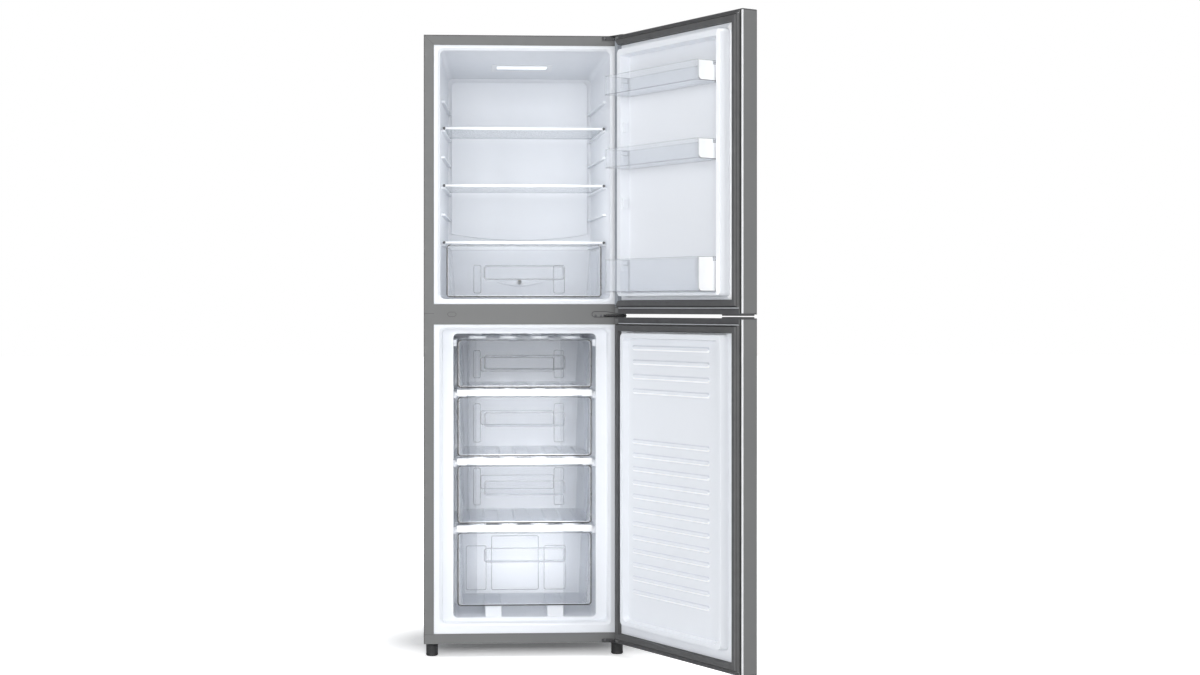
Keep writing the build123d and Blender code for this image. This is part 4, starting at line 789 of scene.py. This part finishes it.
class FRIDGE_OT_bins(bpy.types.Operator):
    """Clear door bins and their white end plates"""

    bl_idname = "fridge.bins"
    bl_label = "Door bins"

    def execute(self, context):
        for name in BINS:
            mesh = copied(name, shut=True)
            for face in soften(mesh, 0.6 * MM, 1, 30.0):
                # Painted shade on the rounded edges, darker along the foot.
                face.material_index = 2 if face.normal.z < -0.3 else 1
            open_door(mesh)
            node_shape(name, mesh, ["clear_plastic", "clear_edge_shade", "glass_edge_and_shade"])
            self.make_cap(name)
        return {"FINISHED"}

    def make_cap(self, name):
        """The white end plate, with painted shade along its foot and outer side where the clear wall wraps it."""
        mesh = copied(f"{name}_end_cap", shut=True)
        for face in soften(mesh, 1.1 * MM, 2, 30.0):
            face.material_index = int(face.normal.z < -0.3 or face.normal.x < -0.5)
        open_door(mesh)
        node_shape(f"{name}_end_cap", mesh, ["moulded_white", "glass_edge_and_shade"])


class FRIDGE_OT_shelves(bpy.types.Operator):
    """Glass shelves with ground edges, white front trims and end clips"""

    bl_idname = "fridge.shelves"
    bl_label = "Glass shelves"

    def execute(self, context):
        settings = context.scene.fridge_clear
        for name in SHELVES:
            mesh = copied(f"{name}_glass")
            panes = [face for face in mesh.faces if abs(face.normal.z) > 0.9]
            rim = bmesh.ops.inset_individual(
                mesh, faces=panes, thickness=settings.glass_edge_and_shade, use_even_offset=True
            )
            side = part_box(f"{name}_glass")[1].x - 1.5 * settings.glass_edge_and_shade
            for face in list(rim["faces"]) + [f for f in mesh.faces if abs(f.normal.z) < 0.5]:
                face.material_index = 1 if abs(face.calc_center_median().x) > side else 2
            node_shape(f"{name}_glass", mesh, ["shelf_glass", "glass_edge_and_shade", "rear_edge"])
            softened_piece(f"{name}_trim", 0.8 * MM)
            self.add_clips(name)
        return {"FINISHED"}

    def add_clips(self, name):
        """A dark rounded clip at each end of the trim."""
        low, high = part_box(f"{name}_trim")
        radius = 3.6
        mesh = bmesh.new()
        for x in (low.x + radius * MM, high.x - radius * MM):
            profile = [(0, -1.2), (2.6, -1.2), (radius, 0), (radius, 12), (0, 12)]
            lathe(mesh, profile, (x, low.y, (low.z + high.z) / 2), axis=(0, 1, 0), steps=20)
        finish_piece(f"{name}_end_clips", closed_up(mesh), ["cap_grey"], name, "white_plastic", sharp=40.0)


# After the clear plastic: painted shade on the walls, softer painted shade on edges, the painted dark edge and the
# painted glint.
DRAWER_FINISHES = ["clear_plastic", "shaded_plastic", "clear_edge_shade", "dark_edge_shade", "glint_highlight"]
CLEAR, SHADED, SOFT, DARK, LIGHT = range(5)


class FRIDGE_OT_drawers(bpy.types.Operator):
    """Clear freezer drawers and crisper with painted dark edges and glints, outlined grips, painted shade on the
    freezer drawers' walls and ridged rear walls
    """

    bl_idname = "fridge.drawers"
    bl_label = "Drawers"

    def execute(self, context):
        settings = context.scene.fridge_clear
        for name in DRAWERS + ["crisper_drawer"]:
            self.make_tub(name, settings)
        return {"FINISHED"}

    def make_tub(self, name, settings):
        """The drawer itself, its front face ringed by a painted dark edge of shade and a painted glint inside it.
        """
        low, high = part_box(name)
        mesh = copied(name)
        plate, behind = low.y + 0.2 * MM, low.y + 3.5 * MM
        for width, index in ((settings.outline, DARK), (settings.glint, LIGHT)):
            front = [
                f for f in mesh.faces
                if f.normal.y < -0.99 and f.calc_center_median().y < plate and f.material_index == CLEAR
            ]
            rim = bmesh.ops.inset_region(
                mesh, faces=front, thickness=width, use_even_offset=True, use_boundary=True
            )
            for face in rim["faces"]:
                face.material_index = self.rim_finish(face.calc_center_median(), low, high, index)
        side = high.x - 0.6 * MM
        for face in mesh.faces:
            middle = face.calc_center_median()
            # Painted shade: the front's outer edges at the sides and foot.
            if middle.y < low.y + 3 * MM and (abs(middle.x) > side or middle.z < low.z + 0.6 * MM):
                face.material_index = DARK
            # Painted shade on a freezer drawer's walls behind the front.
            if name in DRAWERS and middle.y > behind and abs(face.normal.y) < 0.9:
                face.material_index = SHADED
        left, right = REAR_PANEL
        cut_across(mesh, left)
        cut_across(mesh, right)
        # Painted shade on the rear wall outside its clear middle.
        for face in mesh.faces:
            middle = face.calc_center_median()
            if name in DRAWERS and middle.y > high.y - 10 * MM and not left < middle.x < right:
                face.material_index = SHADED
        # Softer painted shade on the rounded edges behind the front.
        for face in soften(mesh, 0.4 * MM, 1, 30.0):
            if face.calc_center_median().y > behind:
                face.material_index = SOFT
        self.add_ridges(mesh, name, low, high, settings)
        node_shape(name, mesh, DRAWER_FINISHES)

    @staticmethod
    def rim_finish(middle, low, high, index):
        """The front's outline is painted shade, dark at the sides and foot with a painted glint inside, and softer
        along the top and round the grip, where the glint is left out.
        """
        grip = abs(middle.x) < GRIP_REACH and low.z + 0.02 < middle.z < high.z - 0.02
        top = middle.z > high.z - 6 * MM and abs(middle.x) < high.x - 0.03
        if grip or top:
            return SOFT if index == DARK else CLEAR
        return index

    def add_ridges(self, mesh, name, low, high, settings):
        """Outlines moulded in the rear wall: a recess and two upright panels, or three panels."""
        rear = high.y - 3.0 * MM
        for left, right, foot, drop in RIDGES.get(name, RIDGES["others"]):
            bottom = low.z + foot if foot else high.z - drop - settings.recess
            size = (right - left, high.z - drop - bottom)
            place = ((left + right) / 2, rear, bottom + size[1] / 2)
            # The ridges carry the softer painted edge shade.
            ridge_ring(
                mesh, place, (1, 0, 0), (0, 0, 1), size, 6 * MM, settings.ridge_width, settings.ridge_height,
                index=SOFT,
            )


class FRIDGE_OT_freezer_shelves(bpy.types.Operator):
    """Evaporator tubes on wires, their riser and the white front bars"""

    bl_idname = "fridge.freezer_shelves"
    bl_label = "Freezer shelves"

    def execute(self, context):
        settings = context.scene.fridge_cabinet
        self.make_tubes(settings)
        for name in BARS:
            self.make_bar(name, context.scene.fridge_clear)
        return {"FINISHED"}

    def make_bar(self, name, clear):
        """A rounded bar whose ends are taller where they clip on."""
        low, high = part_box(name)
        inset = 4.5 * MM
        mesh = bmesh.new()
        edge = 2.4 * MM
        bar(mesh, (low.x + inset, low.y, high.z - clear.bar_height), (high.x - inset, high.y, high.z), edge)
        for start in (low.x + inset, high.x - inset - clear.bar_end):
            bar(mesh, (start, low.y + 0.4 * MM, low.z), (start + clear.bar_end, high.y, high.z - MM), edge)
        bar(mesh, (low.x, low.y + 3 * MM, low.z + 2 * MM), (high.x, high.y, low.z + 9 * MM), edge / 2)
        node_shape(name, mesh, sharp=40.0)

    def make_tubes(self, settings):
        """Each shelf's tube runs back and forth; wires carry it on the liner's ledges."""
        low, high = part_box("evaporator_coils")
        runs, pitch = 8, 43 * MM
        radius = settings.tube_radius
        bars = [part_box(name)[1].z for name in BARS]
        tops = [high.z] + [top + 4.5 * MM for top in bars]
        first = -(runs - 1) / 2 * pitch
        near = low.y + pitch / 2 + radius
        far = high.y - pitch / 2 - radius
        mesh = bmesh.new()
        for top in tops:
            level = top - radius
            points = []
            for run in range(runs):
                x = first + run * pitch
                ends = (far, near) if run % 2 == 0 else (near, far)
                points += [(x, ends[0], level), (x, ends[1], level)]
                if run < runs - 1:
                    side = -1 if run % 2 == 0 else 1
                    points += self.turn(x + pitch / 2, ends[1], level, pitch / 2, side)
            tube(mesh, points, radius)
            for share in (0.25, 0.75):
                y = near + (far - near) * share
                wire = top - 2 * radius - settings.wire_radius
                tube(mesh, [(low.x, y, wire), (high.x, y, wire)], settings.wire_radius)
        foot, head = tops[-1] - radius, tops[0] - radius
        tube(mesh, [(first, far + radius, foot), (first, far + radius, head)], radius)
        finish_piece("evaporator_tubes", mesh, ["coil_white"], "cabinet", "coil_white", ["evaporator_coils"],
                     sharp=50.0)

    @staticmethod
    def turn(x, y, level, radius, side):
        """Points on a half turn between two runs."""
        steps = 8
        turned = [math.pi * step / steps for step in range(1, steps)]
        return [(x - radius * math.cos(a), y + side * radius * math.sin(a), level) for a in turned]


class FRIDGE_OT_hinges(bpy.types.Operator):
    """Hinges, their screws and the cover over the unused hinge place"""

    bl_idname = "fridge.hinges"
    bl_label = "Hinges"

    def execute(self, context):
        settings = context.scene.fridge_cabinet
        for name in ("hinge_top", "hinge_bottom"):
            softened_piece(name, settings.steel_edge)
        self.make_outlined("hinge_middle", settings, 1.0, "seam_and_shade_dark")
        self.make_outlined("mullion_plug", settings, 0.6, "edge_shade_grey")
        self.add_screws(settings)
        return {"FINISHED"}

    def make_outlined(self, name, settings, share, outline):
        """A plate painted like the cabinet near its left end; beyond that its front keeps the darker steel as
        painted shade, and a dark outline of painted shade runs round its front.
        """
        mesh = copied(name)
        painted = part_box(name)[0].x + settings.painted_plate
        front = [face for face in mesh.faces if face.normal.y < -0.9]
        width = share * settings.plate_outline
        rim = bmesh.ops.inset_region(
            mesh, faces=front, thickness=width, use_even_offset=True, use_boundary=True
        )
        # Painted shade: past the grey length the front stays dark steel, and the rim is a dark outline.
        for face in mesh.faces:
            face.material_index = int(face.normal.y < -0.9 and face.calc_center_median().x < painted)
        for face in rim["faces"]:
            face.material_index = 2
        node_shape(name, mesh, ["hinge_steel", "grey_paint", outline])

    def add_screws(self, settings):
        """Pan heads with a sunk middle on the hinges' plates."""
        mesh = bmesh.new()
        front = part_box("outer_wrap")[0].y - 2.5 * MM
        r, h = settings.screw_radius / MM, settings.screw_height / MM
        shape = ((0, 0), (1, 0), (1, 0.35), (0.8, 0.8), (0.45, 1), (0.4, 0.5), (0, 0.5))
        head = [(r * across, h * up) for across, up in shape]
        for name, steps in (("hinge_middle", (10, 25)), ("hinge_top", (9, 34)), ("hinge_bottom", (9, 34))):
            low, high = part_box(name)
            level = {"hinge_top": high.z - 7.5 * MM, "hinge_bottom": low.z + 7.5 * MM}
            for step in steps:
                place = (low.x + step * MM, front, level.get(name, (low.z + high.z) / 2))
                lathe(mesh, head, place, axis=(0, -1, 0), steps=16)
        finish_piece("hinge_screws", closed_up(mesh), ["screw_steel"], "cabinet", "hinge_steel", sharp=40.0)


class FRIDGE_OT_seams(bpy.types.Operator):
    """Dark lines across the side flanges, seams along the mitres of the folded steel at its upper corners, and
    painted shade along the cabinet's outer edges
    """

    bl_idname = "fridge.seams"
    bl_label = "Seams"

    def execute(self, context):
        settings = context.scene.fridge_cabinet
        low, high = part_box("outer_wrap")
        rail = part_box("mullion_rail")
        floor_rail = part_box("bottom_rail")
        flange = rail[0].x - low.x
        thick = 0.12 * MM
        mesh = bmesh.new()
        for side in (-1, 1):
            across = sorted((side * (high.x - 0.3 * MM), side * (high.x - flange)))
            for z in (rail[0].z + 0.5 * (rail[1].z - rail[0].z) + 2 * MM, floor_rail[1].z - 2 * MM):
                corner = (across[0], low.y - thick, z)
                bar(mesh, corner, (across[1], low.y + thick, z + settings.seam_width))
            start = Vector((side * (high.x - 0.5 * MM), low.y, high.z - 0.5 * MM))
            end = Vector((side * (high.x - flange), low.y, high.z - flange))
            strip = bmesh.new()
            half = settings.seam_width / 4
            bar(strip, (0, -thick, -half), ((end - start).length, thick, half))
            run = (end - start).normalized()
            turn = Vector((1, 0, 0)).rotation_difference(run).to_matrix().to_4x4()
            bmesh.ops.transform(strip, matrix=Matrix.Translation(start) @ turn, verts=strip.verts)
            join(mesh, strip)
        finish_piece("flange_dark_lines", mesh, ["seam_and_shade_dark"], "cabinet", "cabinet_paint")
        # Painted shade along the cabinet's outer edges.
        edges = bmesh.new()
        near, far = low.y - 0.05 * MM, low.y + 0.3 * MM
        edge = settings.outer_edge
        bar(edges, (low.x, near, floor_rail[0].z), (low.x + edge, far, high.z - edge))
        bar(edges, (high.x - edge, near, floor_rail[0].z), (high.x, far, high.z - edge))
        bar(edges, (low.x, near, high.z - edge), (high.x, far, high.z))
        finish_piece("cabinet_edge_shade", edges, ["edge_shade_grey"], "cabinet", "cabinet_paint")
        return {"FINISHED"}


class FRIDGE_OT_feet(bpy.types.Operator):
    """Fluted levelling feet and the rear glides"""

    bl_idname = "fridge.feet"
    bl_label = "Feet"

    def execute(self, context):
        settings = context.scene.fridge_cabinet
        for name in ("front_foot_left", "front_foot_right"):
            self.make_foot(name, settings)
        softened_piece("rear_glides", 1.2 * MM)
        return {"FINISHED"}

    def make_foot(self, name, settings):
        """A round body with flutes to grip, a chamfered tread and a threaded stem."""
        low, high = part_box(name)
        middle = (low + high) / 2
        r, tall, height = (high.x - low.x) / 2 / MM, 30, (high.z - low.z) / MM
        mesh = bmesh.new()
        body = [
            (0, 0), (r - 2.5, 0), (r, 2.5), (r, 6), (r - 0.6, 7), (r - 0.6, tall - 4), (r, tall - 3),
            (r, tall - 0.8), (r - 0.8, tall), (0, tall),
        ]
        for vert in lathe(mesh, body, (middle.x, middle.y, low.z), steps=48):
            out = Vector((vert.co.x - middle.x, vert.co.y - middle.y, 0))
            up = (vert.co.z - low.z) / MM
            flute = math.cos(24 * math.atan2(out.y, out.x)) < 0
            if flute and out.length > 0.94 * r * MM and 5 < up < tall - 2:
                vert.co -= out.normalized() * settings.foot_flute
        stem = [(0, tall - 1), (4, tall - 1)]
        turns = 14
        for turn in range(turns):
            z = tall + (height - tall) * turn / turns
            stem += [(4, z), (3.6, z + 0.9)]
        stem += [(3.6, height), (0, height)]
        lathe(mesh, stem, (middle.x, middle.y, low.z), steps=20)
        node_shape(name, closed_up(mesh), ["black_plastic"], sharp=40.0)


class FRIDGE_OT_machinery(bpy.types.Operator):
    """Compressor, its box, mounts, pipes and tray at the bottom rear"""

    bl_idname = "fridge.machinery"
    bl_label = "Machinery"

    def execute(self, context):
        self.make_pot()
        self.make_mounts()
        softened_piece("compressor_terminal_box", 1.2 * MM)
        softened_piece("drip_tray", 0.6 * MM)
        self.make_pipes()
        return {"FINISHED"}

    def make_pot(self):
        """A smooth welded pot with its seam, on a pressed foot plate."""
        low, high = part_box("compressor")
        x, y = (low.x + high.x) / 2, (low.y + high.y) / 2
        r, h = POT_RADIUS, (high.z - low.z) / MM
        mesh = bmesh.new()
        profile = [
            (0, 0), (r - 14, 0), (r - 6, 4), (r - 1, 12), (r, 18), (r, 66), (r + 2.6, 68), (r + 3, 70.5),
            (r + 2.6, 73), (r, 75), (r, h - 34), (r - 3, h - 22), (r - 10, h - 12), (r - 22, h - 4),
            (r - 38, h), (0, h),
        ]
        lathe(mesh, profile, (x, y, low.z), steps=64)
        bar(mesh, (low.x, y - 58 * MM, low.z), (high.x, y + 58 * MM, low.z + 3 * MM), edge=1.2 * MM)
        node_shape("compressor", closed_up(mesh), ["black_enamel"], sharp=32.0)

    def make_mounts(self):
        """Waisted rubber mounts under the foot plate."""
        low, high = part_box("compressor_grommets")
        r, h = 11, (high.z - low.z) / MM
        mesh = bmesh.new()
        profile = [
            (0, 0), (r, 0), (r, 0.3 * h), (r - 2, 0.4 * h), (r - 2, 0.65 * h), (r, 0.75 * h), (r, h), (0, h),
        ]
        for x in (low.x + r * MM, high.x - r * MM):
            for y in (low.y + r * MM, high.y - r * MM):
                lathe(mesh, profile, (x, y, low.z), steps=24)
        finish_piece(
            "compressor_mounts", closed_up(mesh), ["black_rubber"], "cabinet", SLOT_OF["compressor_grommets"],
            ["compressor_grommets"], sharp=40.0,
        )

    def make_pipes(self):
        """Discharge and suction pipes with round bends, and the filter drier."""
        low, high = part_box("refrigerant_pipes")
        pot_low, pot_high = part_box("compressor")
        x, y = (pot_low.x + pot_high.x) / 2, (pot_low.y + pot_high.y) / 2
        bay = high.z
        radius, side = 3.2 * MM, POT_RADIUS * MM
        leaves, enters, shelf = pot_low.z + 60 * MM, pot_low.z + 90 * MM, bay - 41.8 * MM
        right, left, rear = x + side + 38 * MM, x - side - 45 * MM, y + 20 * MM
        discharge = [
            (x + side - 2 * MM, y, leaves), (right, y, leaves), (right, y, shelf),
            (high.x - radius, rear, shelf), (high.x - radius, rear, bay),
        ]
        suction = [
            (x - side + 2 * MM, y - 30 * MM, enters), (left, y - 30 * MM, enters),
            (left, rear, enters), (left, rear, bay),
        ]
        mesh = bmesh.new()
        for route in (discharge, suction):
            tube(mesh, rounded_route(route, 14 * MM), radius)
        rise = 141.8
        body = [
            (0, -8), (1.6, -8), (1.8, 0), (6, 3), (9, 10), (9, 80), (6, 87), (3.2, 90), (3.2, rise),
            (0, rise),
        ]
        lathe(mesh, body, (low.x + 9 * MM, y, bay - rise * MM), steps=24)
        node_shape("refrigerant_pipes", closed_up(mesh), ["copper_tube"], sharp=40.0)


class FRIDGE_OT_back(bpy.types.Operator):
    """Rear sheet with soft ribs, and the screws along its sides"""

    bl_idname = "fridge.back"
    bl_label = "Back"

    def execute(self, context):
        softened_piece("back_panel", 0.3 * MM, 20.0)
        low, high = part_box("back_panel")
        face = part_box("outer_wrap")[1].y - 5 * MM
        mesh = bmesh.new()
        count, margin = 7, 40 * MM
        head = [(0, 0), (3.4, 0), (3.2, 0.9), (1.6, 1.8), (0, 1.9)]
        for side in (-1, 1):
            for step in range(count):
                z = low.z + margin + (high.z - low.z - 2 * margin) * step / (count - 1)
                lathe(mesh, head, (side * (high.x - 12 * MM), face, z), axis=(0, 1, 0), steps=16)
        finish_piece("back_screws", closed_up(mesh), ["screw_steel"], "cabinet", "hinge_steel", sharp=40.0)
        return {"FINISHED"}


class FRIDGE_OT_studio(bpy.types.Operator):
    """Floor, world, lamps and camera"""

    bl_idname = "fridge.studio"
    bl_label = "Studio"

    def execute(self, context):
        settings = context.scene.fridge_studio
        self.make_floor(settings)
        self.make_world(settings)
        self.make_lamps(settings)
        self.make_camera(settings)
        context.scene.view_settings.view_transform = "Standard"
        context.scene.cycles.transparent_max_bounces = 32
        return {"FINISHED"}

    def make_floor(self, settings):
        """A pale floor that reads as white and keeps the cast shadow; its glow is weaker close to the part, a
        painted shadow.
        """
        mesh = bmesh.new()
        bmesh.ops.create_grid(mesh, x_segments=4, y_segments=4, size=settings.floor_size / 2)
        data = bpy.data.meshes.new("floor")
        mesh.to_mesh(data)
        mesh.free()
        floor = bpy.data.objects.new("floor", data)
        bpy.context.scene.collection.objects.link(floor)
        paper = bpy.data.materials.new("floor_paper")
        paper.use_nodes = True
        tree = paper.node_tree
        surface = tree.nodes["Principled BSDF"]
        surface.inputs["Base Color"].default_value = (0.86, 0.865, 0.875, 1.0)
        surface.inputs["Roughness"].default_value = 0.7
        glow = add_node(tree, "ShaderNodeEmission")
        glow.inputs["Color"].default_value = (1.0, 1.0, 1.0, 1.0)
        away = add_node(tree, "ShaderNodeTexCoord").outputs["Object"]
        none, line = (0, 0, 0), (0.2, 0, 0)  # the shadow lies round a line across the part
        for kind, value in (("ABSOLUTE", none), ("SUBTRACT", line), ("MAXIMUM", none)):
            step = add_node(tree, "ShaderNodeVectorMath", operation=kind)
            tree.links.new(away, step.inputs[0])
            step.inputs[1].default_value = value
            away = step.outputs["Vector"]
        # The glow fades close to the part: a painted shadow round it.
        far = add_node(tree, "ShaderNodeVectorMath", operation="LENGTH")
        tree.links.new(away, far.inputs[0])
        strength = add_node(tree, "ShaderNodeMath", operation="MULTIPLY")
        tree.links.new(ramp(tree, far.outputs["Value"], 0.1, 1.0, 0.11, 0.38), strength.inputs[0])
        tree.links.new(self.seen(tree), strength.inputs[1])
        tree.links.new(strength.outputs["Value"], glow.inputs["Strength"])
        both = add_node(tree, "ShaderNodeAddShader")
        tree.links.new(surface.outputs["BSDF"], both.inputs[0])
        tree.links.new(glow.outputs["Emission"], both.inputs[1])
        tree.links.new(both.outputs["Shader"], tree.nodes["Material Output"].inputs["Surface"])
        data.materials.append(paper)

    @staticmethod
    def seen(tree):
        """1 where the camera looks, straight or through a clear piece, or in a reflection."""
        rays = add_node(tree, "ShaderNodeLightPath")
        either = add_node(tree, "ShaderNodeMath", operation="MAXIMUM")
        tree.links.new(rays.outputs["Is Camera Ray"], either.inputs[0])
        tree.links.new(rays.outputs["Is Transmission Ray"], either.inputs[1])
        return either.outputs["Value"]

    def make_world(self, settings):
        """Even light, and plain white where the camera sees it."""
        world = bpy.data.worlds.new("studio")
        bpy.context.scene.world = world
        world.use_nodes = True
        tree = world.node_tree
        even = tree.nodes["Background"]
        even.inputs["Color"].default_value = (0.93, 0.965, 1.0, 1.0)
        even.inputs["Strength"].default_value = settings.world_strength
        white = add_node(tree, "ShaderNodeBackground")
        white.inputs["Color"].default_value = (1.0, 1.0, 1.0, 1.0)
        white.inputs["Strength"].default_value = 1.0
        mix = add_node(tree, "ShaderNodeMixShader")
        tree.links.new(self.seen(tree), mix.inputs["Fac"])
        tree.links.new(even.outputs["Background"], mix.inputs[1])
        tree.links.new(white.outputs["Background"], mix.inputs[2])
        tree.links.new(mix.outputs["Shader"], tree.nodes["World Output"].inputs["Surface"])

    def make_lamps(self, settings):
        """Large soft lamps in front, at both sides, overhead and behind."""
        middle = Vector((0.1, 0.0, 0.9))
        for name, place, size, watts in (
            ("front_lamp", (-0.2, -6.4, 1.3), 4.0, settings.front_power),
            ("key_lamp", (-3.6, -4.6, 1.9), 3.0, settings.key_power),
            ("fill_lamp", (3.2, -3.6, 1.6), 2.4, settings.fill_power),
            ("top_lamp", (0.0, -0.6, 4.4), 2.4, settings.top_power),
            ("rear_lamp", (-1.5, 4.4, 2.4), 2.4, settings.rear_power),
        ):
            lamp = self.add_lamp(name, place, middle - Vector(place), watts)
            lamp.data.size = size
        for name, watts, drop in (
            ("fridge_liner", settings.fridge_power, settings.fridge_lamp_drop),
            ("freezer_liner", settings.freezer_power, 0.0),
        ):
            low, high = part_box(name)
            place = (0.0, low.y + 6 * MM, (low.z + high.z) / 2 - drop)
            lamp = self.add_lamp(f"{name}_lamp", place, Vector((0, 1, 0)), watts)
            lamp.data.shape = "RECTANGLE"
            lamp.data.size = 0.26
            lamp.data.size_y = high.z - low.z - 0.3
            lamp.visible_camera = False
            lamp.visible_glossy = False

    @staticmethod
    def add_lamp(name, place, towards, watts):
        """An area lamp that faces a direction."""
        data = bpy.data.lights.new(name, "AREA")
        data.energy = watts
        lamp = bpy.data.objects.new(name, data)
        lamp.location = place
        lamp.rotation_euler = Vector(towards).to_track_quat("-Z", "Y").to_euler()
        bpy.context.scene.collection.objects.link(lamp)
        return lamp

    def make_camera(self, settings):
        """The viewpoint of the photograph."""
        data = bpy.data.cameras.new("camera")
        data.sensor_width = 36.0
        data.lens = settings.lens
        data.shift_x, data.shift_y = settings.shift
        camera = bpy.data.objects.new("camera", data)
        camera.location = settings.camera_place
        camera.rotation_euler = (math.pi / 2, 0.0, -settings.camera_turn)
        bpy.context.scene.collection.objects.link(camera)
        bpy.context.scene.camera = camera


class FRIDGE_PT_panel(bpy.types.Panel):
    """Lists the steps that build the scene"""

    bl_idname = "FRIDGE_PT_panel"
    bl_label = "Refrigerator"
    bl_space_type = "VIEW_3D"
    bl_region_type = "UI"
    bl_category = "Refrigerator"

    def draw(self, context):
        for step in STEPS:
            self.layout.operator(step.bl_idname)


STEPS = (
    FRIDGE_OT_finishes,
    FRIDGE_OT_liners,
    FRIDGE_OT_lamp,
    FRIDGE_OT_doors,
    FRIDGE_OT_bins,
    FRIDGE_OT_shelves,
    FRIDGE_OT_drawers,
    FRIDGE_OT_freezer_shelves,
    FRIDGE_OT_hinges,
    FRIDGE_OT_seams,
    FRIDGE_OT_feet,
    FRIDGE_OT_machinery,
    FRIDGE_OT_back,
    FRIDGE_OT_studio,
)
SETTINGS = {
    "fridge_cabinet": CabinetSettings,
    "fridge_clear": ClearSettings,
    "fridge_studio": StudioSettings,
}
CLASSES = (*SETTINGS.values(), *STEPS, FRIDGE_PT_panel)


def register():
    """Make the settings, steps and panel known."""
    for kind in CLASSES:
        bpy.utils.register_class(kind)
    for name, kind in SETTINGS.items():
        setattr(bpy.types.Scene, name, PointerProperty(type=kind))


def unregister():
    """Take them away again."""
    for name in SETTINGS:
        delattr(bpy.types.Scene, name)
    for kind in reversed(CLASSES):
        bpy.utils.unregister_class(kind)


def main():
    """Build the scene, step by step."""
    register()
    for step in STEPS:
        family, name = step.bl_idname.split(".")
        getattr(getattr(bpy.ops, family), name)()
    bpy.context.view_layer.update()


if __name__ == "__main__":
    main()
